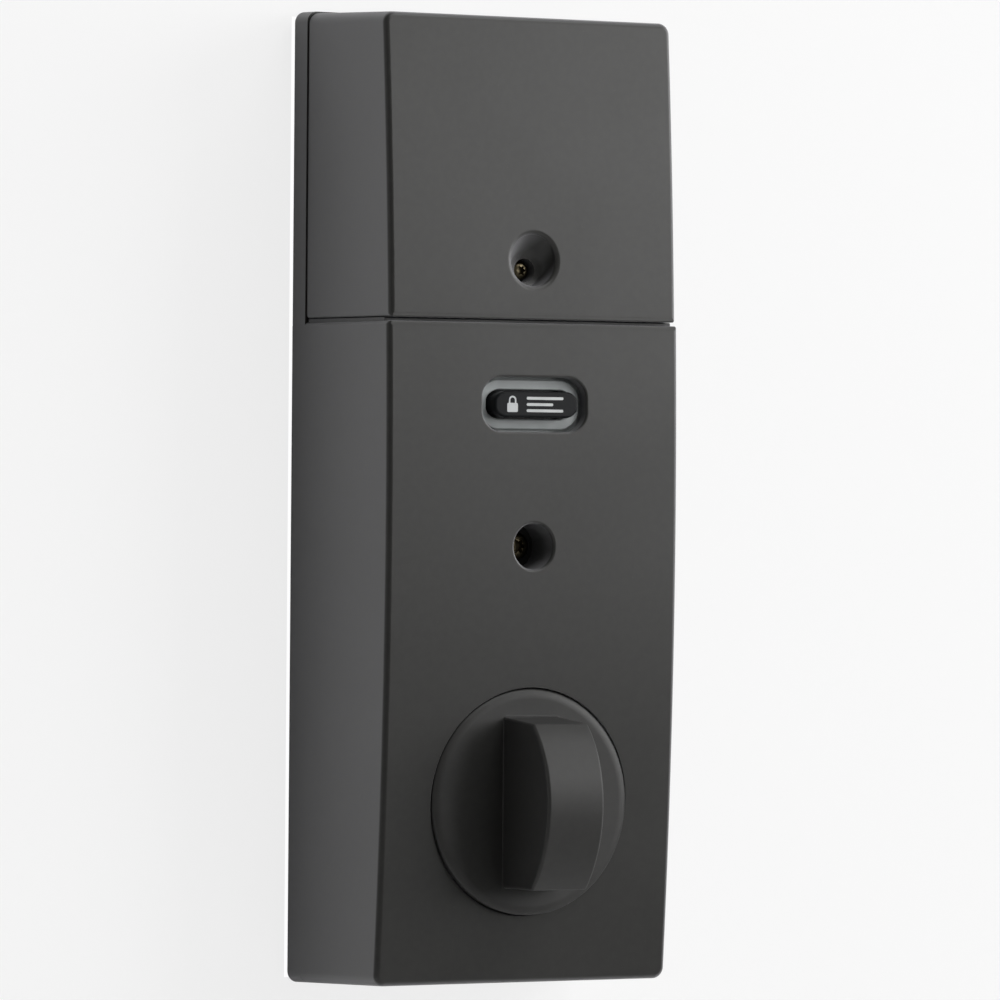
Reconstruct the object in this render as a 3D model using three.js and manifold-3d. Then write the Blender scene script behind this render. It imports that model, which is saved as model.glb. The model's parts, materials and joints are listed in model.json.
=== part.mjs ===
// Room-side half of a keypad smart lock: the housing with its battery bay, thumbturn, geared motor drive,
// circuit board and push button, and the steel plate that carries it all on the door.
//
// Everything is modelled in the lock's own axes: X to the right and Y up as seen from the room, and Z out of
// the door towards the room, in millimetres, with the origin at the middle of the face that meets the door.
// The exported group stands upright, with +Z up and the door behind the lock.

import * as THREE from 'three';
import { mergeVertices } from 'three/addons/utils/BufferGeometryUtils.js';
import Module from 'manifold-3d';

const wasm = await Module();
wasm.setup();

// ---------------------------------------------------------------------------------------------------------
// Sizes
// ---------------------------------------------------------------------------------------------------------

const RUNNING = 0.3; // gap left round a piece that turns, slides or is cut by its neighbour
const SEAT = 0.1; // gap left between two flat faces that rest on each other
const ROUND = 18; // facets of an ordinary round piece
const SMALL = 10; // facets of a small round piece, such as a screw or its hole
const FINE = 48; // facets of a large, visible round piece

const cell = { radius: 7.1, length: 50.5, nubRadius: 2.75, nubHeight: 1, pitch: 14.6, innerX: 10.8, count: 4 };
const contact = { room: 3.2, thickness: 0.4, halfWidth: 4.6, height: 9, wireRadius: 0.35, springTurns: 2.5 };
const tray = { endWall: 1.4, base: 1.9, wallDepth: 14, endWallDepth: 20, sideGap: 3.9, bossRadius: 3.4 };
const bay = { leadSpace: 3.7, topRoom: 2.4 };

const body = {
  width: 76.2,
  height: 213,
  endDepth: 36,
  bow: 4,
  draft: 1,
  corner: 2.5,
  edge: 1.2,
  wall: 2.5,
  shelf: 2.2,
  bandDepth: 5.2,
  bayFloor: 2,
};
const cover = {
  inset: 0.5,
  wall: 2,
  seam: 0.8,
  lipDepth: 6,
  tongueWidth: 8,
  tongueX: 22,
  tongueThickness: 1.8,
  tongueDrop: 1.4,
  tongueRise: 8,
};

const coverScrew = { headRadius: 2.2, headHeight: 1.7, shankRadius: 1.5, length: 7.6, recessRadius: 6.4 };
const coverRecess = { aboveTray: 7.9, rise: 2.1, depth: 4.4, bodyRadius: 8.2, bossRadius: 4.3 };
const insert = { length: 6, wall: 0.8 };
const trayBossTop = 29;

const plate = { thickness: 2, halfWidth: 24.5, corner: 4, topFromSeam: 8.2, bottomMargin: 8.5, lugHeight: 7 };
const bolts = { spacing: 38.1, holeRadius: 2.75, headRadius: 5.5 };
const cableHole = { left: 13.8, right: 22.6, bottomAbove: 8.5, height: 10 };

const turn = {
  aboveBottom: 40.5,
  discRadius: 24.6,
  discProud: 1,
  discThickness: 4.9,
  rimWidth: 2.5,
  rimDrop: 1.1,
  bossRadius: 12,
  bossLength: 8,
  leverWidth: 14.2,
  leverLength: 37.3,
  leverEnd: 12.3,
  leverArch: 6.5,
  leverEdge: 0.6,
};
const turnSeat = { collarWall: 2, ledge: 2, washerRoom: 2 };
const clip = { thickness: 1, outward: 3.5, openWidth: 8 };
const spindle = { radius: 6, flat: 4, tail: 1, flangeRadius: 10.5, flange: 1.3, slotWidth: 7.6, slotHeight: 3 };
const spindleDepths = { slot: 13, tenon: 22.5 };
const driveLug = { halfWidth: 1.5, inner: 3, outer: 0.6, freePlay: 35 };
const magnet = { radius: 1.5, length: 1.6, at: 12 };

const mountingScrew = { aboveTurn: 55.6, headRadius: 3.25, headHeight: 2.2, shankRadius: 1.75, headDrop: 6.7 };
const mountingBore = { radius: 5, lip: 0.65, wall: 1.6, bossRadius: 4.4 };

const button = {
  belowSeam: 17.7,
  holeWidth: 27.5,
  holeHeight: 12.7,
  ringWidth: 25.6,
  ringHeight: 10.85,
  ringBand: 1.8,
  ringBandHigh: 2.25,
  ringDrop: 2.5,
  padRise: 3.2,
  padEdge: 0.4,
  flange: 0.9,
  flangeThickness: 1.1,
  shoulder: 2.7,
  travel: 0.6,
  endBow: 0.9,
};

const chassis = { thickness: 2.2, edgeGap: 2.2, screwX: 30, lowerScrewUp: 10.5, upperScrewDrop: 1.6, column: 3.3 };
const smallScrew = { headRadius: 2.3, headHeight: 1.4, shankRadius: 1, post: 3 };
const chassisScrew = { headRadius: 2.8, headHeight: 1.4, shankRadius: 1.25, length: 11 };

const gear = { module: 1, addendum: 0.85, dedendum: 1.2, width: 3, narrow: 2.6, step: 0.4, thickness: 1.3 };
const teeth = { hub: 30, small: 10, large: 24, pinion: 9 };
const pin = { radius: 1.5 };
const motor = { width: 15.4, depth: 12, length: 15, cap: 2.6, shaftRadius: 1, clampWall: 1.4, clampHeight: 9 };
const gearPlate = { thickness: 1.6, halfWidth: 27, below: 18, margin: 2.4, sleeve: 4.1, sleeveWall: 2 };
const bush = { wall: 1.4, flange: 1.5, flangeThickness: 1 };

const board = { thickness: 1.6, depth: 26, halfWidth: 31.5, height: 36, belowShelf: 1, screwX: 28, screwIn: 4 };
const tact = { half: 3, height: 3.4, plungerRadius: 1.6, bore: 1.4 };
const radio = { width: 14, height: 10, rise: 2.4, x: -20.5, drop: 12 };
const chip = { width: 9, rise: 1.4, x: -8, up: 8 };
const capacitor = { radius: 3.2, rise: 7.2, x: 24, drop: 12 };
const sounder = { radius: 12, height: 8.5, portRadius: 2, portDrop: 0.4, x: -13, drop: 17 };
const cableHeader = { width: 11, length: 6, height: 5, wall: 1, x: 19, up: 4 };
const batterySocket = { width: 8.4, length: 5.5, height: 4.6, wall: 0.8, x: 15.8, drop: 4 };
const lead = { radius: 0.7, motorRadius: 0.6, sides: 8 };

// ---------------------------------------------------------------------------------------------------------
// Places worked out from the sizes
// ---------------------------------------------------------------------------------------------------------

const halfWidth = body.width / 2;
const top = body.height / 2;
const bottom = -top;
const trayLength = cell.length + 2 * (contact.room + tray.endWall);
const bayHeight = bay.leadSpace + trayLength + bay.topRoom + body.wall;
const bodyTop = top - bayHeight;
const shelfUnder = bodyTop - body.shelf;
const coverBottom = bodyTop + cover.seam;
const coverBack = body.bandDepth + RUNNING;

const trayBottom = bodyTop + bay.leadSpace;
const trayTop = trayBottom + trayLength;
const trayBack = body.bandDepth + SEAT;
const trayHalfWidth = halfWidth - tray.sideGap;
const cellDepth = trayBack + tray.base + RUNNING + cell.radius;
const cellBottom = trayBottom + tray.endWall + contact.room;
const coverScrewY = trayBottom + coverRecess.aboveTray;

const plateTop = bodyTop - plate.topFromSeam;
const plateBottom = bottom + plate.bottomMargin;
const chassisBack = plate.thickness + RUNNING;
const chassisFront = chassisBack + chassis.thickness;
const chassisScrewLowY = bottom + chassis.lowerScrewUp;

const turnY = bottom + turn.aboveBottom;
const turnFace = depthAt(turnY) + turn.discProud;
const discBack = turnFace - turn.discThickness;
const ledgeFront = discBack - turnSeat.washerRoom;
const ledgeBack = ledgeFront - turnSeat.ledge;

const mountingY = turnY + mountingScrew.aboveTurn;
const mountingSeat = depthAt(mountingY) - mountingScrew.headDrop - mountingScrew.headHeight;
const chassisScrewHighY = mountingY - chassis.upperScrewDrop;

const buttonY = bodyTop - button.belowSeam;
const ringFace = depthAt(buttonY) - button.ringDrop;
const boardTop = shelfUnder - board.belowShelf;
const boardBottom = boardTop - board.height;
const boardFront = board.depth + board.thickness;

const layerA = chassisFront + RUNNING + spindle.flange + RUNNING;
const layerB = layerA + gear.width + gear.step;
const layerC = layerB + gear.narrow + gear.step;
const gearPlateBack = layerC + gear.narrow + gear.step;
const gearPlateFront = gearPlateBack + gearPlate.thickness;

const hubAt = new THREE.Vector2(0, turnY);
const idler2At = centreFrom(hubAt, teeth.hub, teeth.small, 126.87);
const idler1At = centreFrom(idler2At, teeth.large, teeth.small, 28.07);
const motorAt = centreFrom(idler1At, teeth.large, teeth.pinion, 36.87);

const gearPostsAt = [
  [-22.5, turnY - 13],
  [22.5, turnY - 13],
  [-22.5, turnY + 38],
  [23, turnY + 21.8],
];
const columnsAt = [
  [-chassis.screwX, chassisScrewLowY],
  [chassis.screwX, chassisScrewLowY],
  [-chassis.screwX, chassisScrewHighY],
  [chassis.screwX, chassisScrewHighY],
];
const boardScrewsAt = [
  [-board.screwX, boardTop - board.screwIn],
  [board.screwX, boardBottom + board.screwIn],
];
const boardPegsAt = [
  [board.screwX, boardTop - board.screwIn],
  [-board.screwX, boardBottom + board.screwIn],
];
const leadSlot = { left: 11.5, right: 20, back: 23.5, front: 32.5 };

/** Depth of the bowed front face above the door at height y. */
function depthAt(y) {
  return body.endDepth + body.bow * (1 - (y / (body.height / 2)) ** 2);
}

/** Centre of a gear that meshes with one at `from`, in the direction `degrees` from the X axis. */
function centreFrom(from, teethA, teethB, degrees) {
  const distance = (gear.module * (teethA + teethB)) / 2;
  const angle = THREE.MathUtils.degToRad(degrees);
  return new THREE.Vector2(from.x + distance * Math.cos(angle), from.y + distance * Math.sin(angle));
}

// ---------------------------------------------------------------------------------------------------------
// Shape helpers
// ---------------------------------------------------------------------------------------------------------

/** Turn a closed three.js geometry into a solid that can be cut and joined. */
function solid(geometry) {
  const bare = geometry.clone();
  bare.deleteAttribute('normal');
  bare.deleteAttribute('uv');
  const merged = mergeVertices(bare, 1e-5);
  const mesh = new wasm.Mesh({
    numProp: 3,
    vertProperties: new Float32Array(merged.attributes.position.array),
    triVerts: new Uint32Array(merged.index.array),
  });
  return new wasm.Manifold(mesh);
}

/** Turn a solid back into a three.js geometry with flat-shaded normals. */
function geometryOf(shape) {
  const mesh = shape.getMesh();
  const geometry = new THREE.BufferGeometry();
  geometry.setAttribute('position', new THREE.BufferAttribute(new Float32Array(mesh.vertProperties), 3));
  geometry.setIndex(new THREE.BufferAttribute(new Uint32Array(mesh.triVerts), 1));
  geometry.computeVertexNormals();
  return geometry;
}

function join(...shapes) {
  return shapes.flat().reduce((whole, shape) => whole.add(shape));
}

function cut(shape, ...tools) {
  return tools.flat().reduce((rest, tool) => rest.subtract(tool), shape);
}

function box(x0, x1, y0, y1, z0, z1) {
  const geometry = new THREE.BoxGeometry(x1 - x0, y1 - y0, z1 - z0);
  return solid(geometry.translate((x0 + x1) / 2, (y0 + y1) / 2, (z0 + z1) / 2));
}

/** Straight extrusion of a flat shape along Z. */
function prism(shape, z0, z1, curveSegments = 4) {
  const geometry = new THREE.ExtrudeGeometry(shape, { depth: z1 - z0, bevelEnabled: false, curveSegments });
  return solid(geometry.translate(0, 0, z0));
}

/** Round bar along Z. */
function bar(x, y, radius, z0, z1, facets = ROUND) {
  const geometry = new THREE.CylinderGeometry(radius, radius, z1 - z0, facets);
  return solid(geometry.rotateX(Math.PI / 2).translate(x, y, (z0 + z1) / 2));
}

function ring(x, y, inner, outer, z0, z1, facets = ROUND) {
  return cut(bar(x, y, outer, z0, z1, facets), bar(x, y, inner, z0 - 1, z1 + 1, facets));
}

/** Solid of revolution about the Z axis; the profile is a list of [radius, z] that starts and ends at radius 0. */
function turned(profile, facets = ROUND) {
  const points = profile.map(([radius, z]) => new THREE.Vector2(radius, z));
  return solid(new THREE.LatheGeometry(points, facets).rotateX(Math.PI / 2));
}

function roundedRectangle(x0, x1, y0, y1, radius) {
  const shape = new THREE.Shape();
  shape.moveTo(x0 + radius, y0);
  shape.lineTo(x1 - radius, y0);
  shape.absarc(x1 - radius, y0 + radius, radius, -Math.PI / 2, 0);
  shape.lineTo(x1, y1 - radius);
  shape.absarc(x1 - radius, y1 - radius, radius, 0, Math.PI / 2);
  shape.lineTo(x0 + radius, y1);
  shape.absarc(x0 + radius, y1 - radius, radius, Math.PI / 2, Math.PI);
  shape.lineTo(x0, y0 + radius);
  shape.absarc(x0 + radius, y0 + radius, radius, Math.PI, Math.PI * 1.5);
  return shape;
}

/** Racetrack with rounded corners and gently bowed ends, centred on the origin. */
function oval(width, height) {
  const x = width / 2 - button.endBow;
  const y = height / 2;
  const corner = Math.min(0.75 * y, 4);
  const shape = new THREE.Shape();
  shape.moveTo(-x + corner, -y);
  shape.lineTo(x - corner, -y);
  shape.quadraticCurveTo(x, -y, x + 0.6 * button.endBow, -y + corner);
  shape.quadraticCurveTo(width / 2 + 0.4 * button.endBow, 0, x + 0.6 * button.endBow, y - corner);
  shape.quadraticCurveTo(x, y, x - corner, y);
  shape.lineTo(-x + corner, y);
  shape.quadraticCurveTo(-x, y, -x - 0.6 * button.endBow, y - corner);
  shape.quadraticCurveTo(-width / 2 - 0.4 * button.endBow, 0, -x - 0.6 * button.endBow, -y + corner);
  shape.quadraticCurveTo(-x, -y, -x + corner, -y);
  return shape;
}

/** An oval bar along Z round the button's centre, tapering to a second size when one is given. */
function ovalBar(width, height, z0, z1, endWidth = width, endHeight = height) {
  const geometry = new THREE.ExtrudeGeometry(oval(width, height), {
    depth: z1 - z0,
    bevelEnabled: false,
    curveSegments: 5,
  });
  const position = geometry.attributes.position;
  for (let i = 0; i < position.count; i += 1) {
    const share = position.getZ(i) / (z1 - z0);
    position.setX(i, position.getX(i) * (1 + (share * (endWidth - width)) / width));
    position.setY(i, position.getY(i) * (1 + (share * (endHeight - height)) / height));
  }
  return solid(geometry.translate(0, buttonY, z0));
}

/**
 * Block with drafted sides, rounded corners and a front that is bowed along its height.
 * `under` lowers the front below the lock's outer face, and the ends that are `drafted` lean in like the sides.
 */
function bowedBlock({ half, low, high, back, under = 0, corner, edge, lowDraft = 1, highDraft = 1 }) {
  const cornerSteps = 3;
  const sideSteps = 12;
  const edgeSteps = 2;
  const layers = [{ inset: 0, drafted: 0, drop: null }];
  for (let i = 0; i <= edgeSteps; i += 1) {
    const angle = (i / edgeSteps) * (Math.PI / 2);
    layers.push({ inset: edge * (1 - Math.cos(angle)), drafted: body.draft, drop: edge * (1 - Math.sin(angle)) });
  }
  const positions = [];
  const index = [];
  let count = 0;
  for (const { inset, drafted, drop } of layers) {
    const w = half - inset - drafted;
    const y0 = low + inset + drafted * lowDraft;
    const y1 = high - inset - drafted * highDraft;
    const r = Math.max(corner - inset, 0.2);
    const side = [];
    for (let i = 0; i <= cornerSteps; i += 1) {
      const angle = (i / cornerSteps) * (Math.PI / 2);
      side.push([w - r + r * Math.sin(angle), y0 + r - r * Math.cos(angle)]);
    }
    for (let i = 1; i < sideSteps; i += 1) side.push([w, y0 + r + ((y1 - y0 - 2 * r) * i) / sideSteps]);
    for (let i = 0; i <= cornerSteps; i += 1) {
      const angle = (i / cornerSteps) * (Math.PI / 2);
      side.push([w - r + r * Math.cos(angle), y1 - r + r * Math.sin(angle)]);
    }
    const outline = [...side, ...side.map(([x, y]) => [-x, y]).reverse()];
    count = outline.length;
    for (const [x, y] of outline) positions.push(x, y, drop === null ? back : depthAt(y) - under - drop);
  }
  for (let layer = 0; layer + 1 < layers.length; layer += 1) {
    for (let i = 0; i < count; i += 1) {
      const a = layer * count + i;
      const b = layer * count + ((i + 1) % count);
      index.push(a, b, b + count, a, b + count, a + count);
    }
  }
  const front = (layers.length - 1) * count;
  for (let i = 0; i + 1 < count / 2; i += 1) {
    const mirror = count - 1 - i;
    index.push(front + i, front + i + 1, front + mirror - 1, front + i, front + mirror - 1, front + mirror);
    index.push(i, mirror - 1, i + 1, i, mirror, mirror - 1);
  }
  const geometry = new THREE.BufferGeometry();
  geometry.setAttribute('position', new THREE.Float32BufferAttribute(positions, 3));
  geometry.setIndex(index);
  return solid(geometry);
}

/** Gear outline with straight-sided teeth, thin enough to run with backlash. */
function gearShape(toothCount, boreRadius) {
  const pitch = (gear.module * toothCount) / 2;
  const tip = pitch + gear.addendum * gear.module;
  const root = pitch - gear.dedendum * gear.module;
  const halfAt = (radius, thickness) => thickness / 2 / radius;
  const shape = new THREE.Shape();
  for (let i = 0; i < toothCount; i += 1) {
    const centre = (i * 2 * Math.PI) / toothCount;
    const corners = [
      [root, -halfAt(root, gear.thickness * 1.3)],
      [tip, -halfAt(tip, gear.thickness * 0.55)],
      [tip, halfAt(tip, gear.thickness * 0.55)],
      [root, halfAt(root, gear.thickness * 1.3)],
    ];
    for (const [radius, offset] of corners) {
      const x = radius * Math.cos(centre + offset);
      const y = radius * Math.sin(centre + offset);
      if (shape.curves.length === 0 && shape.currentPoint.length() === 0) shape.moveTo(x, y);
      else shape.lineTo(x, y);
    }
  }
  if (boreRadius > 0) {
    const bore = new THREE.Path();
    bore.absarc(0, 0, boreRadius, 0, Math.PI * 2, true);
    shape.holes.push(bore);
  }
  return shape;
}

/** Turn that puts a tooth gap of the second gear on a tooth of the first, along their line of centres. */
function meshingTurn(from, turnA, teethA, to, teethB) {
  const angle = Math.atan2(to.y - from.y, to.x - from.x);
  const phase = ((angle - turnA) * teethA) / (2 * Math.PI);
  return angle + Math.PI - ((0.5 - phase) * 2 * Math.PI) / teethB;
}

/** Screw with a domed head and a hexagon socket: head base at Z 0, head towards +Z, shank towards -Z. */
function screw({ headRadius, headHeight, shankRadius, length }) {
  const profile = [
    [0, -length],
    [shankRadius * 0.6, -length],
    [shankRadius, -length + shankRadius],
    [shankRadius, 0],
    [headRadius, 0],
    [headRadius, headHeight * 0.55],
    [headRadius * 0.72, headHeight],
    [0, headHeight],
  ];
  return cut(turned(profile, SMALL), bar(0, 0, headRadius * 0.42, headHeight * 0.4, headHeight + 1, 6));
}

/** Round wire along a smooth path through the given points. */
function wire(points, radius, sides, steps) {
  const path = new THREE.CatmullRomCurve3(points.map((point) => new THREE.Vector3(...point)), false, 'centripetal');
  const section = new THREE.Shape();
  for (let i = 0; i < sides; i += 1) {
    const angle = (i / sides) * 2 * Math.PI;
    const x = radius * Math.cos(angle);
    const y = radius * Math.sin(angle);
    if (i === 0) section.moveTo(x, y);
    else section.lineTo(x, y);
  }
  section.closePath();
  return solid(new THREE.ExtrudeGeometry(section, { steps, bevelEnabled: false, extrudePath: path }));
}

// ---------------------------------------------------------------------------------------------------------
// Materials
// ---------------------------------------------------------------------------------------------------------

function material(color, roughness, metalness) {
  return new THREE.MeshStandardMaterial({ color, roughness, metalness });
}

const paint = material(0x4b4947, 0.55, 0.3);
const casting = material(0x454341, 0.5, 0.4);
const steel = material(0xa9abad, 0.35, 1);
const brass = material(0xb6914c, 0.35, 1);
const darkPlastic = material(0x2b2c2e, 0.6, 0);
const palePlastic = material(0xd9d8d2, 0.5, 0);
const gearPlastic = material(0xe6e1d2, 0.5, 0);
const glossBlack = material(0x101113, 0.12, 0);
const lightPipe = material(0x9da1a2, 0.35, 0);
const boardGreen = material(0x1f5a3a, 0.45, 0);
const chipBlack = material(0x1a1b1d, 0.4, 0);
const canMetal = material(0xb9bcbf, 0.3, 1);
const cellWrap = material(0x202225, 0.3, 0.2);
const redWire = material(0xb3221e, 0.5, 0);
const blackWire = material(0x17181a, 0.5, 0);
const greyWire = material(0x85888a, 0.5, 0);

const lock = new THREE.Group();
lock.rotation.x = Math.PI / 2;

/** Add one named piece to the lock, placed by its position and its rotation. */
function piece(name, shape, finish, position = [0, 0, 0], rotation = [0, 0, 0]) {
  const mesh = new THREE.Mesh(geometryOf(shape), finish);
  mesh.name = name;
  mesh.position.set(...position);
  mesh.rotation.set(...rotation);
  lock.add(mesh);
}

// ---------------------------------------------------------------------------------------------------------
// Housing and cover
// ---------------------------------------------------------------------------------------------------------

/** The painted casting: body below the seam, and a shallow frame with a floor behind the battery cover. */
function mainHousing() {
  const outer = bowedBlock({ half: halfWidth, low: bottom, high: top, back: 0, corner: body.corner, edge: body.edge });
  const aboveBand = box(-body.width, body.width, bodyTop, body.height, body.bandDepth, body.height);
  const cavity = bowedBlock({
    half: halfWidth - body.wall,
    low: bottom + body.wall,
    high: shelfUnder,
    back: -1,
    under: body.wall,
    corner: body.corner,
    edge: body.edge,
    highDraft: 0,
  });
  const inside = halfWidth - body.wall;
  const floorBack = body.bandDepth - body.bayFloor;
  const rearRecess = prism(
    roundedRectangle(-inside, inside, shelfUnder - 1, top - body.wall, body.corner),
    -1,
    floorBack,
  );
  const tongueSlots = [-1, 1].map((side) => tongue(side, RUNNING, floorBack - 1, body.bandDepth + 1));
  const bosses = join(
    bar(0, turnY, turn.discRadius + RUNNING + turnSeat.collarWall, ledgeBack, body.height, FINE),
    bar(0, mountingY, mountingBore.radius + mountingBore.wall, mountingSeat - 2, body.height),
    bar(0, mountingY, mountingBore.bossRadius, chassisFront + SEAT, body.height),
    columnsAt.map(([x, y]) => bar(x, y, chassis.column, chassisFront + SEAT, body.height)),
  ).intersect(outer);
  const lipFace = depthAt(mountingY);
  const mountingLip = turned([
    [0, lipFace - mountingBore.lip],
    [mountingBore.radius, lipFace - mountingBore.lip],
    [mountingBore.radius + mountingBore.lip + 0.4, lipFace + 0.4],
    [0, lipFace + 0.4],
  ]).translate(0, mountingY, 0);
  const holes = [
    bar(0, turnY, turn.discRadius + RUNNING, ledgeFront, body.height, FINE),
    bar(0, turnY, turn.bossRadius + RUNNING, 0, body.height, FINE),
    bar(0, mountingY, mountingBore.radius, mountingSeat, body.height),
    bar(0, mountingY, mountingScrew.shankRadius + RUNNING, 0, body.height),
    mountingLip,
    ovalBar(
      button.ringWidth + 2 * RUNNING,
      button.ringHeight + 2 * RUNNING,
      ringFace - 3,
      depthAt(buttonY) + 1,
      button.holeWidth + 0.4,
      button.holeHeight + 0.4,
    ),
    box(leadSlot.left, leadSlot.right, shelfUnder - 1, bodyTop + 1, leadSlot.back, leadSlot.front),
    columnsAt.map(([x, y]) => bar(x, y, chassisScrew.shankRadius + RUNNING, 0, chassisFront + 12, SMALL)),
    trayScrewsAt().map(([x, y]) => bar(x, y, smallScrew.shankRadius + RUNNING, -1, body.bandDepth + 1, SMALL)),
  ].flat();
  return cut(join(cut(outer, aboveBand, cavity, rearRecess), bosses), holes, tongueSlots);
}

/** Locating tongue of the cover on one side, grown by `gap` for the slot that it enters. */
function tongue(side, gap, z0, z1, high = top - body.wall - SEAT + gap) {
  const half = cover.tongueWidth / 2 + gap;
  const low = top - body.wall - SEAT - cover.tongueThickness - gap;
  return box(side * cover.tongueX - half, side * cover.tongueX + half, low, high, z0, z1);
}

/** The lift-off battery cover, a shell with a recessed screw. */
function batteryCover() {
  const half = halfWidth - cover.inset;
  const high = top - cover.inset;
  const shell = { corner: body.corner, edge: body.edge, lowDraft: 0 };
  const outer = bowedBlock({ half, low: coverBottom, high, back: coverBack, ...shell });
  const hollow = bowedBlock({
    ...shell,
    half: half - cover.wall,
    low: coverBottom + cover.wall,
    high: high - cover.wall,
    back: coverBack - 1,
    under: cover.wall,
  });
  const openFoot = box(
    -(half - cover.wall - body.draft),
    half - cover.wall - body.draft,
    coverBottom - 1,
    coverBottom + 2 * cover.wall,
    0,
    body.endDepth - cover.lipDepth + body.bow / 2,
  );
  const screwBoss = join(
    bar(0, coverScrewY, coverRecess.bossRadius, trayBossTop + SEAT, body.height),
    bar(0, coverScrewY + coverRecess.rise, coverRecess.bodyRadius, recessFloor() - cover.wall, body.height),
  ).intersect(outer);
  const tongueRoot = high - cover.wall / 2;
  const tongues = [-1, 1].flatMap((side) => [
    tongue(side, 0, body.bandDepth - cover.tongueDrop, coverBack + cover.tongueRise),
    tongue(side, 0, coverBack, coverBack + cover.tongueRise, tongueRoot),
  ]);
  const shellBody = join(cut(outer, hollow, openFoot), screwBoss, tongues);
  return cut(
    shellBody,
    recessCone(),
    bar(0, coverScrewY, coverScrew.headRadius + 0.4, coverScrewSeat(), body.height),
    bar(0, coverScrewY, coverScrew.shankRadius + RUNNING, 0, body.height),
  );
}

function recessFloor() {
  return depthAt(coverScrewY) - coverRecess.depth;
}

function coverScrewSeat() {
  return recessFloor() - coverScrew.headHeight - 1.2;
}

/** Slanted cone from the round mouth of the recess to the screw's bore, which lies lower. */
function recessCone() {
  const floor = recessFloor();
  const reach = depthAt(coverScrewY) + 1 - floor;
  const floorRadius = coverScrew.headRadius + 0.4;
  const slope = (coverScrew.recessRadius - floorRadius) / coverRecess.depth;
  const cone = new THREE.CylinderGeometry(floorRadius + slope * reach, floorRadius, reach, ROUND + 8);
  cone.rotateX(Math.PI / 2).translate(0, 0, reach / 2);
  const slant = new THREE.Matrix4().set(
    1, 0, 0, 0,
    0, 1, coverRecess.rise / coverRecess.depth, coverScrewY,
    0, 0, 1, floor,
    0, 0, 0, 1,
  );
  return solid(cone.applyMatrix4(slant));
}

// ---------------------------------------------------------------------------------------------------------
// Door plate and chassis
// ---------------------------------------------------------------------------------------------------------

function cablePassage(gap, z0, z1) {
  const low = turnY + cableHole.bottomAbove;
  return box(cableHole.left - gap, cableHole.right + gap, low - gap, low + cableHole.height + gap, z0, z1);
}

function lugBoxes(gap, z0, z1) {
  return [-1, 1].map((side) => {
    const x = side * (plate.halfWidth - 8);
    return box(x - 4 - gap, x + 4 + gap, plateBottom - gap, plateBottom + plate.thickness + gap, z0, z1);
  });
}

/** Steel plate that is screwed to the door and carries the lock. */
function supportPlate() {
  const outline = roundedRectangle(-plate.halfWidth, plate.halfWidth, plateBottom, plateTop, plate.corner);
  return cut(
    join(prism(outline, 0, plate.thickness), lugBoxes(0, 0, plate.thickness + plate.lugHeight)),
    bar(0, turnY, spindle.radius + 3, -1, plate.thickness + 1),
    [-1, 1].map((side) => bar((side * bolts.spacing) / 2, turnY, bolts.holeRadius, -1, plate.thickness + 1)),
    bar(0, mountingY, mountingScrew.shankRadius + RUNNING, -1, plate.thickness + 1),
    cablePassage(0, -1, plate.thickness + 1),
  );
}

/** Moulded base inside the housing: it carries the gears, the motor and the circuit board. */
function chassisFrame() {
  const half = halfWidth - body.wall - chassis.edgeGap;
  const low = bottom + body.wall + chassis.edgeGap;
  const high = shelfUnder - chassis.edgeGap;
  const postTop = gearPlateBack - SEAT;
  const boardBack = board.depth - SEAT;
  const raised = join(
    prism(roundedRectangle(-half, half, low, high, 3), chassisBack, chassisFront),
    gearPostsAt.map(([x, y]) => bar(x, y, smallScrew.post, chassisBack, postTop, SMALL)),
    [...boardScrewsAt, ...boardPegsAt].map(([x, y]) => bar(x, y, smallScrew.post, chassisBack, boardBack, SMALL)),
    boardPegsAt.map(([x, y]) => bar(x, y, smallScrew.shankRadius, chassisBack, boardFront + 1, SMALL)),
    bar(idler1At.x, idler1At.y, pin.radius + 1.8, chassisBack, layerB - RUNNING, SMALL),
    bar(idler2At.x, idler2At.y, pin.radius + 1.8, chassisBack, layerA - RUNNING, SMALL),
  );
  const thread = smallScrew.shankRadius + RUNNING;
  const screwHoles = gearPostsAt.map(([x, y]) => bar(x, y, thread, 6, postTop + 1, SMALL));
  const boardHoles = boardScrewsAt.map(([x, y]) => bar(x, y, thread, 16, boardBack + 1, SMALL));
  const pinHoles = [idler1At, idler2At].map(({ x, y }) => {
    return bar(x, y, pin.radius + 0.1, chassisBack + 0.6, layerC, SMALL);
  });
  return cut(
    raised,
    bar(0, turnY, spindle.radius + RUNNING, 0, layerA, 32),
    [-1, 1].map((side) => bar((side * bolts.spacing) / 2, turnY, bolts.headRadius, 0, layerA)),
    bar(0, mountingY, mountingScrew.shankRadius + 0.6, 0, layerA),
    columnsAt.map(([x, y]) => bar(x, y, chassisScrew.shankRadius + RUNNING, 0, layerA, SMALL)),
    cablePassage(0.3, 0, layerA),
    lugBoxes(0.5, 0, layerA),
    screwHoles,
    boardHoles,
    pinHoles,
  );
}

// ---------------------------------------------------------------------------------------------------------
// Thumbturn, spindle and gears
// ---------------------------------------------------------------------------------------------------------

/** Round bar with two flats, for the spindle's tenon and the socket that it enters. */
function flattedBar(radius, flat, z0, z1) {
  return bar(0, 0, radius, z0, z1, 32).intersect(box(-radius, radius, -flat, flat, z0 - 1, z1 + 1));
}

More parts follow.
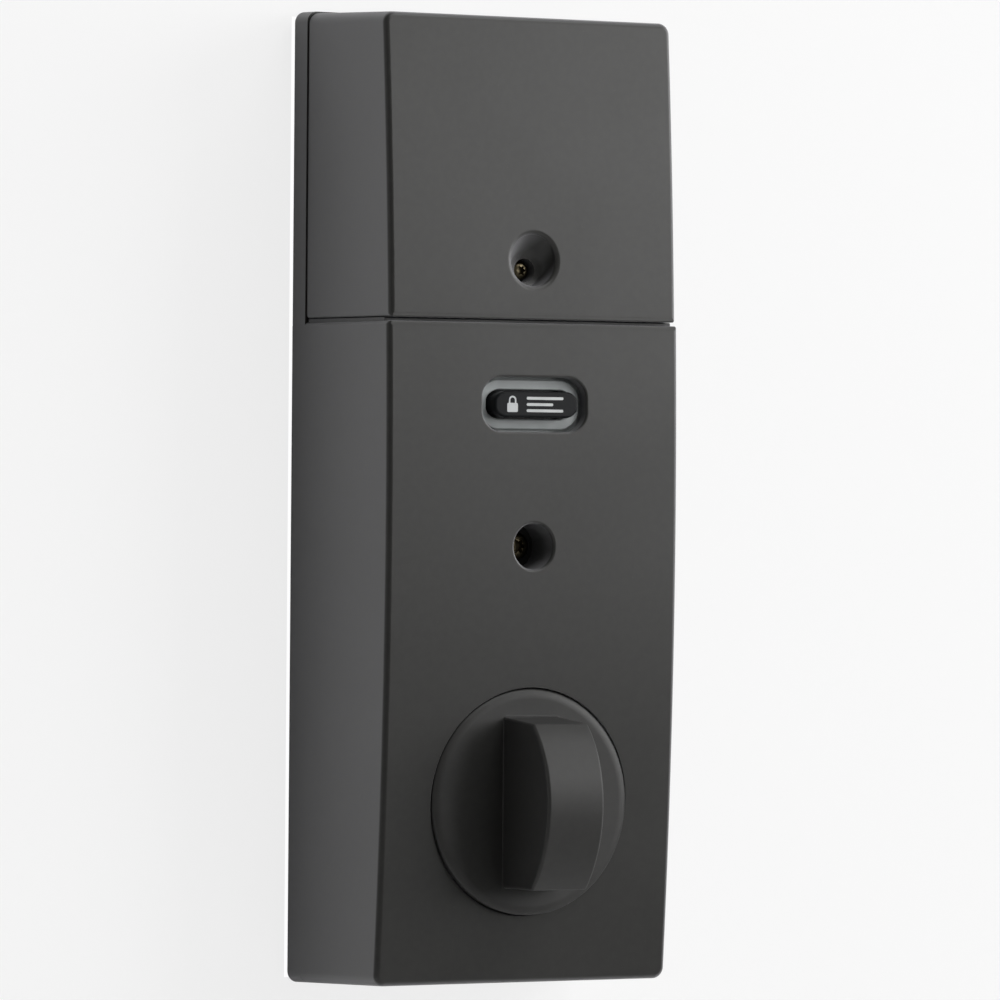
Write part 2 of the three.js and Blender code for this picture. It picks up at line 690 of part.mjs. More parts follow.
/** The lever on the disc, standing on Z 0: flat sides, flat ends and an arched crown. */
function leverShape() {
  const edge = turn.leverEdge;
  const half = turn.leverLength / 2 - edge;
  const sink = 2;
  const end = turn.leverEnd - edge;
  const crown = end + turn.leverArch;
  const radius = (half ** 2 + turn.leverArch ** 2) / (2 * turn.leverArch);
  const spread = Math.asin(half / radius);
  const side = new THREE.Shape();
  side.moveTo(-half, -sink);
  side.lineTo(half, -sink);
  side.lineTo(half, end);
  side.absarc(0, crown - radius, radius, Math.PI / 2 - spread, Math.PI / 2 + spread);
  side.lineTo(-half, -sink);
  const geometry = new THREE.ExtrudeGeometry(side, {
    depth: turn.leverWidth - 2 * edge,
    bevelThickness: edge,
    bevelSize: edge,
    bevelSegments: 2,
    curveSegments: 12,
  });
  geometry.translate(0, 0, edge - turn.leverWidth / 2);
  const toAxes = new THREE.Matrix4().makeBasis(
    new THREE.Vector3(0, 1, 0),
    new THREE.Vector3(0, 0, 1),
    new THREE.Vector3(1, 0, 0),
  );
  return solid(geometry.applyMatrix4(toAxes));
}

/** Disc and lever in one casting, with a grooved boss behind. Z 0 is the disc's front. */
function thumbturn() {
  const back = -turn.discThickness;
  const bossEnd = back - turn.bossLength;
  const grooveFront = ledgeBack - turnFace - RUNNING;
  const grooveBack = grooveFront - clip.thickness - 2 * RUNNING;
  const groove = turn.bossRadius - 1.2;
  const disc = turned(
    [
      [0, bossEnd],
      [turn.bossRadius, bossEnd],
      [turn.bossRadius, grooveBack],
      [groove, grooveBack],
      [groove, grooveFront],
      [turn.bossRadius, grooveFront],
      [turn.bossRadius, back],
      [turn.discRadius, back],
      [turn.discRadius, -turn.rimDrop],
      [turn.discRadius - turn.rimWidth, 0],
      [0, 0],
    ],
    FINE,
  );
  const socket = flattedBar(spindle.radius + RUNNING, spindle.flat + RUNNING, bossEnd - 1, -1.5);
  return cut(join(disc, leverShape()), socket);
}

/** Spindle: tailpiece slot at the back, drive flange with a lug, and a flatted tenon for the thumbturn. */
function turnSpindle() {
  const tenonEnd = turnFace - 2.2;
  const flangeBack = chassisFront + RUNNING;
  const shaft = join(
    bar(0, 0, spindle.radius, spindle.tail, spindleDepths.tenon, 32),
    bar(0, 0, spindle.flangeRadius, flangeBack, flangeBack + spindle.flange, 32),
    flattedBar(spindle.radius, spindle.flat, spindleDepths.tenon - 1, tenonEnd),
    box(
      -driveLug.halfWidth,
      driveLug.halfWidth,
      -spindle.flangeRadius + driveLug.outer,
      -spindle.flangeRadius + driveLug.inner,
      flangeBack,
      layerA + gear.width / 2,
    ),
  );
  const slot = box(
    -spindle.slotWidth / 2,
    spindle.slotWidth / 2,
    -spindle.slotHeight / 2,
    spindle.slotHeight / 2,
    0,
    spindleDepths.slot,
  );
  return cut(shaft, slot);
}

/** Arc-shaped pocket in the back of the hub gear, in which the spindle's lug has free play. */
function lugPocket() {
  const inner = spindle.flangeRadius - driveLug.inner - RUNNING;
  const outer = spindle.flangeRadius - driveLug.outer + RUNNING;
  const half = THREE.MathUtils.degToRad(driveLug.freePlay);
  const shape = new THREE.Shape();
  shape.absarc(0, 0, outer, -Math.PI / 2 - half, -Math.PI / 2 + half);
  shape.absarc(0, 0, inner, -Math.PI / 2 + half, -Math.PI / 2 - half, true);
  return prism(shape, -1, gear.width / 2 + RUNNING);
}

/** Gear round the spindle, with a pocket for the position magnet in its front face. */
function hubGear() {
  return cut(
    prism(gearShape(teeth.hub, spindle.radius + RUNNING), 0, gear.width, ROUND),
    lugPocket(),
    bar(0, magnet.at, magnet.radius + 0.15, gear.width - magnet.length - 0.1, gear.width + 1, 16),
  );
}

/** Two gears in one moulding on a pin, each with its tooth count, depths and turn, and a collar in front. */
function compoundGear(first, second, collar) {
  const bore = pin.radius + RUNNING;
  const wheels = [first, second].map(({ count, z0, z1, angle }) => {
    return prism(gearShape(count, 0), z0, z1).rotate([0, 0, THREE.MathUtils.radToDeg(angle)]);
  });
  const webBack = Math.min(first.z0, second.z0);
  const webFront = Math.max(first.z1, second.z1) + collar;
  const web = bar(0, 0, pin.radius + 1.5, webBack, webFront, SMALL);
  return cut(join(...wheels, web), bar(0, 0, bore, -1, 40, SMALL));
}

/** Ring cut open on one side, which snaps into the groove of the thumbturn's boss. */
function retainingClip() {
  const inner = turn.bossRadius - 1.2 + RUNNING;
  const outer = turn.bossRadius + clip.outward - 1;
  const opening = box(-clip.openWidth / 2, clip.openWidth / 2, -2 * outer, 0, -1, clip.thickness + 1);
  return cut(ring(0, 0, inner, outer, 0, clip.thickness, 32), opening);
}

/** Thin washer with three waves, centred on Z 0. */
function waveWasher() {
  const inner = turn.bossRadius + 0.6;
  const outer = inner + 5;
  const thickness = 0.4;
  const wave = (turnSeat.washerRoom - thickness) / 2 - SEAT;
  const profile = [
    new THREE.Vector2(inner, 0),
    new THREE.Vector2(outer, 0),
    new THREE.Vector2(outer, thickness),
    new THREE.Vector2(inner, thickness),
    new THREE.Vector2(inner, 0),
  ];
  const geometry = new THREE.LatheGeometry(profile, 36).rotateX(Math.PI / 2);
  const position = geometry.attributes.position;
  for (let i = 0; i < position.count; i += 1) {
    const angle = Math.atan2(position.getY(i), position.getX(i));
    position.setZ(i, position.getZ(i) - thickness / 2 + wave * Math.sin(3 * angle));
  }
  return solid(geometry);
}

/** Stamped plate over the gears, with a bearing sleeve for the bush and two clamps for the motor. */
function upperGearPlate() {
  const low = turnY - gearPlate.below;
  const high = motorAt.y + motor.depth / 2 + RUNNING + motor.clampWall + gearPlate.margin;
  const outline = roundedRectangle(-gearPlate.halfWidth, gearPlate.halfWidth, low, high, 4);
  const sleeveRadius = spindle.radius + RUNNING + bush.wall + RUNNING;
  const sleeveTop = gearPlateFront + gearPlate.sleeve;
  const clampX = 4;
  const clamps = [-1, 1].map((side) => {
    const y = motorAt.y + side * (motor.depth / 2 + RUNNING);
    const y0 = Math.min(y, y + side * motor.clampWall);
    const clampTop = gearPlateFront + motor.clampHeight;
    return box(motorAt.x - clampX, motorAt.x + clampX, y0, y0 + motor.clampWall, gearPlateBack, clampTop);
  });
  return cut(
    join(
      prism(outline, gearPlateBack, gearPlateFront),
      bar(0, turnY, sleeveRadius + gearPlate.sleeveWall, gearPlateBack, sleeveTop, 32),
      clamps,
    ),
    bar(0, turnY, sleeveRadius, 0, sleeveTop + 1, 32),
    [idler1At, idler2At].map(({ x, y }) => bar(x, y, pin.radius + 0.1, 0, body.height, SMALL)),
    bar(motorAt.x, motorAt.y, (gear.module * teeth.pinion) / 2 + 1.3, 0, body.height, 24),
    gearPostsAt.map(([x, y]) => bar(x, y, smallScrew.shankRadius + RUNNING, 0, body.height, SMALL)),
    cablePassage(0.5, 0, gearPlateFront + 1),
  );
}

function turnBush() {
  const inner = spindle.radius + RUNNING;
  const outer = inner + bush.wall;
  const height = gearPlate.sleeve + gearPlate.thickness;
  return join(
    ring(0, 0, inner, outer, 0, height + SEAT, 32),
    ring(0, 0, inner, outer + bush.flange, height + SEAT, height + SEAT + bush.flangeThickness, 32),
  );
}

// ---------------------------------------------------------------------------------------------------------
// Motor, board and button
// ---------------------------------------------------------------------------------------------------------

/** Motor body outline: a round with two flats. */
function motorBlock(z0, z1, clearance = 0) {
  const half = motor.depth / 2 - clearance;
  return bar(0, 0, motor.width / 2 - clearance, z0, z1, 32).intersect(box(-20, 20, -half, half, z0 - 1, z1 + 1));
}

function motorPinion() {
  const shaftTop = gearPlateFront + 3;
  return join(
    prism(gearShape(teeth.pinion, 0), layerC, layerC + gear.narrow),
    bar(0, 0, motor.shaftRadius, layerC, shaftTop, 12),
  );
}

function circuitBoard() {
  const half = board.halfWidth;
  return cut(
    prism(roundedRectangle(-half, half, boardBottom, boardTop, 1.5), board.depth, boardFront),
    [...boardScrewsAt, ...boardPegsAt].map(([x, y]) => bar(x, y, smallScrew.shankRadius + RUNNING, 0, 60, SMALL)),
  );
}

/** Translucent frame round the button, standing on the board and flanged behind the housing wall. */
function lightRing() {
  const innerWidth = button.ringWidth - 2 * button.ringBand;
  const innerHeight = button.ringHeight - 2 * button.ringBandHigh;
  const flangeFront = capFlangeFront() + RUNNING;
  const wide = 2 * button.flange + 2 * RUNNING;
  const shoulder = depthAt(buttonY) - body.wall - 0.5;
  return cut(
    join(
      ovalBar(button.ringWidth, button.ringHeight, boardFront + SEAT, ringFace),
      ovalBar(button.ringWidth + 4, button.ringHeight + 4, shoulder - button.shoulder, shoulder),
    ),
    ovalBar(innerWidth, innerHeight, 0, ringFace + 1),
    ovalBar(innerWidth + wide, innerHeight + wide, 0, flangeFront),
  );
}

function capFlangeFront() {
  return ringFace - 2.6;
}

function buttonCap() {
  const width = button.ringWidth - 2 * button.ringBand - 2 * RUNNING;
  const height = button.ringHeight - 2 * button.ringBandHigh - 2 * RUNNING;
  const front = ringFace + button.padRise;
  const flangeBack = capFlangeFront() - button.flangeThickness;
  const edge = button.padEdge;
  return join(
    ovalBar(width, height, flangeBack, front - edge),
    ovalBar(width, height, front - edge, front, width - 2 * edge, height - 2 * edge),
    ovalBar(width + 2 * button.flange, height + 2 * button.flange, flangeBack, capFlangeFront()),
  );
}

function switchBody() {
  const height = tact.height;
  return cut(
    box(-tact.half, tact.half, -tact.half, tact.half, 0, height),
    bar(0, 0, tact.plungerRadius + RUNNING, height - tact.bore, height + 1, 16),
  );
}

/** Moulded connector shell: a box with a slot that is open towards `side` along Y. */
function connector({ width, length, height, wall }) {
  const slot = box(wall - width / 2, width / 2 - wall, wall - length / 2, length, wall, height - wall);
  return cut(box(-width / 2, width / 2, -length / 2, length / 2, 0, height), slot);
}

// ---------------------------------------------------------------------------------------------------------
// Batteries
// ---------------------------------------------------------------------------------------------------------

/** X positions of the cells, from left to right. */
function cellPlaces() {
  const outerX = cell.innerX + cell.pitch;
  return [-outerX, -cell.innerX, cell.innerX, outerX];
}

function trayScrewsAt() {
  return [0.45, 0.85].map((share) => [0, trayBottom + share * trayLength]);
}

/** Bar along Y, for the cells and the wells that hold them. */
function uprightBar(x, z, radius, y0, y1, facets = ROUND) {
  const geometry = new THREE.CylinderGeometry(radius, radius, y1 - y0, facets);
  return solid(geometry.translate(x, (y0 + y1) / 2, z));
}

function batteryTray() {
  const inner0 = trayBottom + tray.endWall;
  const inner1 = trayTop - tray.endWall;
  const cellEdge = cell.innerX + cell.pitch + cell.radius + RUNNING;
  const block = join(
    box(-trayHalfWidth, trayHalfWidth, trayBottom, trayTop, trayBack, tray.wallDepth),
    box(-trayHalfWidth, trayHalfWidth, trayBottom, inner0, trayBack, tray.endWallDepth),
    box(-trayHalfWidth, trayHalfWidth, inner1, trayTop, trayBack, tray.endWallDepth),
    bar(0, coverScrewY, tray.bossRadius, trayBack, trayBossTop),
  );
  const wells = cellPlaces().map((x) => uprightBar(x, cellDepth, cell.radius + RUNNING, inner0, inner1));
  const floor = trayBack + tray.base;
  const endPockets = [
    box(-cellEdge, cellEdge, inner0, cellBottom, floor, body.height),
    box(-cellEdge, cellEdge, cellBottom + cell.length, inner1, floor, body.height),
  ];
  const tabSlots = [-1, 1].map((side) => {
    const x = side * (cell.innerX + cell.pitch);
    return box(x - 1.5, x + 1.5, trayBottom - 1, inner0 + 1, tabDepth() - 0.5, tabDepth() + 0.9);
  });
  return cut(
    block,
    wells,
    endPockets,
    tabSlots,
    bar(0, coverScrewY, insertRadius() + RUNNING, trayBossTop - insert.length - SEAT, trayBossTop + 1),
    trayScrewsAt().map(([x, y]) => bar(x, y, smallScrew.shankRadius + RUNNING, 0, body.height, SMALL)),
  );
}

function insertRadius() {
  return coverScrew.shankRadius + RUNNING + insert.wall;
}

function tabDepth() {
  return trayBack + tray.base + 3.2;
}

/** One dry cell along Y, its bottom end at Y 0 and its nub at the top. */
function dryCell() {
  const can = cell.length - cell.nubHeight;
  const profile = [
    [0, 0],
    [cell.radius - 0.6, 0],
    [cell.radius, 0.5],
    [cell.radius, can - 0.5],
    [cell.radius - 0.6, can],
    [cell.nubRadius, can],
    [cell.nubRadius, cell.length],
    [0, cell.length],
  ];
  return turned(profile).rotate([-90, 0, 0]);
}

/** Conical contact spring that grows along Y from 0 to `height`. */
function contactSpring(x, height) {
  const points = [];
  const steps = 20;
  const rise = contact.wireRadius;
  for (let i = 0; i <= steps; i += 1) {
    const share = i / steps;
    const angle = share * contact.springTurns * 2 * Math.PI;
    const radius = 3.6 - 1.2 * share;
    points.push([x + radius * Math.cos(angle), rise + share * (height - rise), radius * Math.sin(angle)]);
  }
  return wire(points, contact.wireRadius, 5, steps);
}

/**
 * Spring-steel contact at one end of the tray, with its back on Y 0: a strip behind the cells in `springs` and
 * `pads`, a coil for each flat cell end, a raised pad for each nub, and a solder tab when `tab` is given.
 */
function contactStrip(springs, pads, tab) {
  const places = [...springs, ...pads];
  const x0 = Math.min(...places) - contact.halfWidth;
  const x1 = Math.max(...places) + contact.halfWidth;
  const half = contact.height / 2;
  const reach = contact.room - RUNNING - SEAT;
  const solids = [box(x0, x1, 0, contact.thickness, -half, half)];
  for (const x of springs) solids.push(contactSpring(x, reach - contact.wireRadius));
  for (const x of pads) solids.push(box(x - 2, x + 2, 0, reach, -2, 2));
  if (tab !== undefined) {
    const z = tabDepth() - cellDepth;
    solids.push(box(tab - 1.2, tab + 1.2, -tray.endWall - 1.9, contact.thickness, z, z + 0.4));
  }
  return join(solids);
}

// ---------------------------------------------------------------------------------------------------------
// The assembly
// ---------------------------------------------------------------------------------------------------------

function addHousing() {
  piece('main_housing', mainHousing(), paint);
  piece('battery_cover', batteryCover(), paint);
  piece('cover_screw', screw(coverScrew), brass, [0, coverScrewY, coverScrewSeat() + SEAT]);
  piece('support_plate', supportPlate(), steel);
  const reach = { ...mountingScrew, length: mountingSeat + SEAT - 0.4 };
  piece('mounting_screw', screw(reach), brass, [0, mountingY, mountingSeat + SEAT]);
  piece('chassis', chassisFrame(), darkPlastic);
  columnsAt.forEach(([x, y], i) => {
    piece(`chassis_screw_${i + 1}`, screw(chassisScrew), steel, [x, y, chassisBack - SEAT], [Math.PI, 0, 0]);
  });
}

function addTurn() {
  piece('thumbturn', thumbturn(), casting, [0, turnY, turnFace]);
  piece('turn_spindle', turnSpindle(), steel, [0, turnY, 0]);
  piece('hub_gear', hubGear(), gearPlastic, [0, turnY, layerA]);
  const magnetY = turnY + magnet.at;
  const magnetBack = layerA + gear.width - magnet.length;
  piece('position_magnet', bar(0, 0, magnet.radius, 0, magnet.length, 16), steel, [0, magnetY, magnetBack]);
  piece('retaining_clip', retainingClip(), steel, [0, turnY, ledgeBack - 2 * RUNNING - clip.thickness]);
  piece('wave_washer', waveWasher(), steel, [0, turnY, (ledgeFront + discBack) / 2]);
  piece('turn_bush', turnBush(), brass, [0, turnY, gearPlateBack]);
}

function addDrive() {
  const a = { z0: layerA, z1: layerA + gear.width };
  const b = { z0: layerB, z1: layerB + gear.narrow };
  const c = { z0: layerC, z1: layerC + gear.narrow };
  const small2 = { ...a, count: teeth.small, angle: meshingTurn(hubAt, 0, teeth.hub, idler2At, teeth.small) };
  const large2 = { ...b, count: teeth.large, angle: 0 };
  const small1 = { ...b, count: teeth.small, angle: meshingTurn(idler2At, 0, teeth.large, idler1At, teeth.small) };
  const large1 = { ...c, count: teeth.large, angle: 0 };
  const pinionTurn = meshingTurn(idler1At, 0, teeth.large, motorAt, teeth.pinion);
  piece('idler_gear_2', compoundGear(small2, large2, gear.narrow), gearPlastic, [idler2At.x, idler2At.y, 0]);
  piece('idler_gear_1', compoundGear(small1, large1, 0), gearPlastic, [idler1At.x, idler1At.y, 0]);
  const pinBack = chassisBack + 0.7;
  const pinLength = gearPlateFront - pinBack;
  [idler1At, idler2At].forEach(({ x, y }, i) => {
    piece(`gear_pin_${i + 1}`, bar(0, 0, pin.radius, 0, pinLength, SMALL), steel, [x, y, pinBack]);
  });
  piece('gear_plate', upperGearPlate(), canMetal);
  gearPostsAt.forEach(([x, y], i) => {
    const shape = screw({ ...smallScrew, length: 8 });
    piece(`gear_plate_screw_${i + 1}`, shape, steel, [x, y, gearPlateFront + SEAT]);
  });
  const canBack = gearPlateFront + SEAT;
  const canFront = canBack + motor.length;
  const bore = bar(0, 0, motor.shaftRadius + RUNNING, canBack - 1, canBack + 4, 12);
  piece('motor_pinion', motorPinion(), brass, [motorAt.x, motorAt.y, 0], [0, 0, pinionTurn]);
  piece('motor_can', cut(motorBlock(canBack, canFront), bore), canMetal, [motorAt.x, motorAt.y, 0]);
  piece('motor_end_cap', motorBlock(canFront, canFront + motor.cap, 0.6), palePlastic, [motorAt.x, motorAt.y, 0]);
}

function addBoard() {
  piece('circuit_board', circuitBoard(), boardGreen);
  boardScrewsAt.forEach(([x, y], i) => {
    const shape = screw({ ...smallScrew, length: 8 });
    piece(`board_screw_${i + 1}`, shape, steel, [x, y, boardFront + SEAT]);
  });
  const onBoard = boardFront;
  const can = box(-radio.width / 2, radio.width / 2, -radio.height / 2, radio.height / 2, 0, radio.rise);
  piece('radio_module', can, canMetal, [radio.x, boardTop - radio.drop, onBoard]);
  const packageBox = box(-chip.width / 2, chip.width / 2, -chip.width / 2, chip.width / 2, 0, chip.rise);
  piece('main_chip', packageBox, chipBlack, [chip.x, boardBottom + chip.up, onBoard]);
  const sleeve = bar(0, 0, capacitor.radius, 0, capacitor.rise, 20);
  piece('capacitor', sleeve, chipBlack, [capacitor.x, boardTop - capacitor.drop, onBoard]);
  const headerAt = [cableHeader.x, boardBottom + cableHeader.up, onBoard];
  piece('cable_header', connector(cableHeader), palePlastic, headerAt, [0, 0, Math.PI]);
  const socketAt = [batterySocket.x, boardTop - batterySocket.drop, onBoard];
  piece('battery_socket', connector(batterySocket), palePlastic, socketAt);
  piece('switch_body', switchBody(), chipBlack, [0, buttonY, onBoard]);
  const plungerBack = onBoard + tact.height - tact.bore + button.travel + RUNNING;
  const plungerFront = capFlangeFront() - button.flangeThickness - SEAT;
  const plunger = bar(0, 0, tact.plungerRadius, plungerBack, plungerFront, 16);
  piece('switch_plunger', plunger, darkPlastic, [0, buttonY, 0]);
  piece('light_ring', lightRing(), lightPipe);
  piece('button_cap', buttonCap(), glossBlack);
  const sounderShape = join(
    bar(0, 0, sounder.radius, 0, sounder.height, 28),
    bar(0, 0, sounder.portRadius, -sounder.portDrop, 1, 12),
  );
  const sounderAt = [sounder.x, boardTop - sounder.drop, board.depth - sounder.height];
  piece('alarm_sounder', sounderShape, chipBlack, sounderAt);
}

function addBatteries() {
  piece('battery_tray', batteryTray(), darkPlastic);
  trayScrewsAt().forEach(([x, y], i) => {
    const shape = screw({ ...smallScrew, length: tray.wallDepth - 1 });
    piece(`tray_screw_${i + 1}`, shape, steel, [x, y, tray.wallDepth + SEAT]);
  });
  const insertShape = ring(0, 0, coverScrew.shankRadius + RUNNING, insertRadius(), 0, insert.length);
  piece('tray_insert', insertShape, brass, [0, coverScrewY, trayBossTop - insert.length]);
  const places = cellPlaces();
  places.forEach((x, i) => {
    const nubUp = i % 2 === 0;
    const y = nubUp ? cellBottom : cellBottom + cell.length;
    piece(`battery_${i + 1}`, dryCell(), cellWrap, [x, y, cellDepth], [nubUp ? 0 : Math.PI, 0, 0]);
  });
  const [x1, x2, x3, x4] = places;
  const low = [0, trayBottom + tray.endWall + SEAT, cellDepth];
  const high = [0, trayTop - tray.endWall - SEAT, cellDepth];
  piece('negative_contact', contactStrip([x1], [], x1), steel, low);
  piece('lower_link', contactStrip([x3], [x2]), steel, low);
  piece('positive_contact', contactStrip([], [x4], x4), steel, low);
  piece('upper_link_1', contactStrip([x2], [x1]), steel, high, [Math.PI, 0, 0]);
  piece('upper_link_2', contactStrip([x4], [x3]), steel, high, [Math.PI, 0, 0]);
}

// Routes of the four leads, as points chosen by hand.
const negativeRoute = [
  [-23.9, 40.1, 10.6],
  [-10, 40.1, 9.8],
  [8, 40.1, 9.8],
  [13.2, 40.1, 12],
  [14, 40.1, 18],
  [14, 39.9, 24],
  [14, 38, 28.4],
  [14, 35.2, 29.9],
  [14, 33.6, 29.9],
];
const positiveRoute = [
  [23.9, 40.1, 10.6],
  [21.5, 40.1, 9.8],
  [18.4, 40.1, 12],
  [17.6, 40.1, 18],
  [17.6, 39.9, 24],
  [17.6, 38, 28.4],
  [17.6, 35.2, 29.9],
  [17.6, 33.6, 29.9],
];
const motorRoutes = [
  [
    [12.6, -29.5, 36],
    [12, -26, 36.1],
    [9.5, -18, 33],
    [9, -8, 30],
    [9, -1.5, 28.9],
    [9, 2.5, 28.6],
  ],
  [
    [19.8, -29.5, 36],
    [19, -26, 36.1],
    [13.5, -18, 33],
    [11.4, -8, 30],
    [11.4, -1.5, 28.9],
    [11.4, 2.5, 28.6],
  ],
];

function addLeads() {
  piece('battery_lead_negative', wire(negativeRoute, lead.radius, lead.sides, 20), blackWire);
  piece('battery_lead_positive', wire(positiveRoute, lead.radius, lead.sides, 16), redWire);
  motorRoutes.forEach((route, i) => {
    piece(`motor_lead_${i + 1}`, wire(route, lead.motorRadius, lead.sides, 12), i === 0 ? redWire : greyWire);
  });
}

addHousing();
addTurn();
addDrive();
addBoard();
addBatteries();
addLeads();

const group = new THREE.Group();
group.add(lock);

export default group;
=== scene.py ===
"""Room-side half of a keypad smart lock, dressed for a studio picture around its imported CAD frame.

Lengths are millimetres in the lock's own axes: x to the right, y up, and depth out of the door towards the
room. A piece's mesh is worked out there as numpy arrays, and turned into the frame's metres when it is made.
"""

import json
import logging
from dataclasses import dataclass, field, replace
from enum import Enum

import bmesh
import bpy
import numpy as np
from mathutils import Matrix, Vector


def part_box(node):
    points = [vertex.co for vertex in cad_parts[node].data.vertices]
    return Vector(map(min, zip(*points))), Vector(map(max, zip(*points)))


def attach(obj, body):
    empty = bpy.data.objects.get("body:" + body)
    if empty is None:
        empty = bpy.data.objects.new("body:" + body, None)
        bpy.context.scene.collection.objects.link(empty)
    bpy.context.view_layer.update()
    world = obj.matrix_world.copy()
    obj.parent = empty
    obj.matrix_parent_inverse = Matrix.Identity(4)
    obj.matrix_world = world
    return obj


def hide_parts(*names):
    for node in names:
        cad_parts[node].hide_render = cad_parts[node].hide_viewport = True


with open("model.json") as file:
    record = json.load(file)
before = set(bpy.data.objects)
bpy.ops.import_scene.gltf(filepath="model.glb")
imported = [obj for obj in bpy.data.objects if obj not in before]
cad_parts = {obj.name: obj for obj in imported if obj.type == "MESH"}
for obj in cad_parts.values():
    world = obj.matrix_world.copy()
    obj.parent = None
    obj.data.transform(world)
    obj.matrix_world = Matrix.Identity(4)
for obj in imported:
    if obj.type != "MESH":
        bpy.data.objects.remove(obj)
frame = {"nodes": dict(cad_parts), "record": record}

Array = np.ndarray
log = logging.getLogger("lock")

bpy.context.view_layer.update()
MM = 1000.0
SLOT_OF = {entry["node"]: entry["material_slot"] for entry in frame["record"]["subparts"]}
COLOUR_OF = {entry["slot"]: entry["base_color"] for entry in frame["record"]["materials"]}
BODY_OF = {node: body for body, nodes in frame["record"]["behaviour"]["bodies"].items() for node in nodes}

RUNNING = 0.3  # gap that the CAD leaves round a moving piece
SEATING = 0.1  # gap that it leaves between pieces that rest on each other
BEHIND = -1.0  # depth behind every piece, where a cutter starts
BEYOND = 60.0  # depth in front of every piece, where a cutter ends
CLEARING = 4.0  # how far a cutter that follows the face runs on past it
SHARP_ANGLE = np.radians(32)
MERGE_DISTANCE = 1e-6
MIX_COLOURS = (6, 7)  # inputs A and B of a mix node that mixes colours
MIX_RESULT = 2  # its output
DUST_COLOUR = (0.42, 0.4, 0.37)
# Lighter colour painted in where a face is seen at a slant: a painted highlight in place of grazing light
PAINTED_SHEEN_COLOUR = (0.3, 0.3, 0.31)


# ---------------------------------------------------------------------------------------------------------
# Places taken from the frame
# ---------------------------------------------------------------------------------------------------------


@dataclass(frozen=True)
class Extent:
    """A CAD node's box in the lock's own axes."""

    x0: float
    x1: float
    y0: float
    y1: float
    back: float
    front: float

    @property
    def x(self) -> float:
        """Middle of the box across the lock."""
        return (self.x0 + self.x1) / 2

    @property
    def y(self) -> float:
        """Middle of the box along the lock's height."""
        return (self.y0 + self.y1) / 2

    @property
    def width(self) -> float:
        """Size across the lock."""
        return self.x1 - self.x0

    @property
    def height(self) -> float:
        """Size along the lock's height."""
        return self.y1 - self.y0


def extent(node: str) -> Extent:
    """Read a CAD node's box.

    Args:
        node: The node's name in the frame.

    Returns:
        Its box in millimetres, in the lock's own axes.
    """
    low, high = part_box(node)
    return Extent(low.x * MM, high.x * MM, low.z * MM, high.z * MM, -high.y * MM, -low.y * MM)


# ---------------------------------------------------------------------------------------------------------
# Closed shapes as arrays
# ---------------------------------------------------------------------------------------------------------


@dataclass
class Shape:
    """A closed surface: its points, and the point numbers round each face."""

    points: Array
    faces: list[list[int]]

    def volume(self) -> float:
        """Signed volume: a sixth of the sum of the triple products over each face's fan of triangles."""
        total = 0.0
        for sides in {len(face) for face in self.faces}:
            corners = self.points[np.array([face for face in self.faces if len(face) == sides])]
            first = np.repeat(corners[:, :1], sides - 2, axis=1)
            crossed = np.cross(corners[:, 1:-1], corners[:, 2:])
            total += float((first * crossed).sum()) / 6
        return total

    def facing_out(self) -> "Shape":
        """The same surface with its faces turned round if its volume is negative."""
        if self.volume() >= 0:
            return self
        return Shape(self.points, [face[::-1] for face in self.faces])

    def moved(self, x: float = 0, y: float = 0, depth: float = 0) -> "Shape":
        """The same surface shifted by the given lengths."""
        return Shape(self.points + np.array([x, y, depth]), self.faces)


def merged(shapes: list[Shape]) -> Shape:
    """Put several closed surfaces in one mesh, with each one's point numbers moved past those before it."""
    starts = np.cumsum([0] + [len(shape.points) for shape in shapes[:-1]])
    faces = [[int(start) + i for i in face] for start, shape in zip(starts, shapes) for face in shape.faces]
    return Shape(np.vstack([shape.points for shape in shapes]), faces)


def loft(rings: Array, strips: bool = False) -> Shape:
    """Skin a stack of rings and close both ends.

    Point i of a ring joins point i of the next, so each side face is the quad between two rings and two
    neighbouring points. With strips, a ring lists its right side upwards and then its left side downwards,
    and each end is closed by quads from a point to its mirror image, which keeps a bowed end smooth.

    Args:
        rings: Array of (ring, point, 3).
        strips: Close the ends with strips across, and not with one flat face.

    Returns:
        The closed shape, facing outwards.
    """
    layers, count, _ = rings.shape
    index = np.arange(layers * count).reshape(layers, count)
    after = np.roll(index, -1, axis=1)
    sides = np.stack([index[:-1], after[:-1], after[1:], index[1:]], axis=-1).reshape(-1, 4)
    faces = sides.tolist()
    if strips:
        i = np.arange(count // 2 - 1)
        across = np.stack([i, i + 1, count - 2 - i, count - 1 - i], axis=-1)
        faces += (across + index[-1, 0]).tolist()
        faces += across[:, ::-1].tolist()
    else:
        faces += [index[0, ::-1].tolist(), index[-1].tolist()]
    return Shape(rings.reshape(-1, 3), faces).facing_out()


def closed_loft(rings: Array) -> Shape:
    """Skin a stack of rings that comes back to its first ring, such as a ring's section turned round."""
    layers, count, _ = rings.shape
    index = np.arange(layers * count).reshape(layers, count)
    after, above = np.roll(index, -1, axis=1), np.roll(index, -1, axis=0)
    both = np.roll(after, -1, axis=0)
    faces = np.stack([index, after, both, above], axis=-1).reshape(-1, 4).tolist()
    return Shape(rings.reshape(-1, 3), faces).facing_out()


def circle(radius: float | Array, steps: int) -> Array:
    """Points of a circle: the radius times the cosine and the sine of equal steps of a turn."""
    angle = np.linspace(0, 2 * np.pi, steps, endpoint=False)
    return np.stack([radius * np.cos(angle), radius * np.sin(angle)], axis=-1)


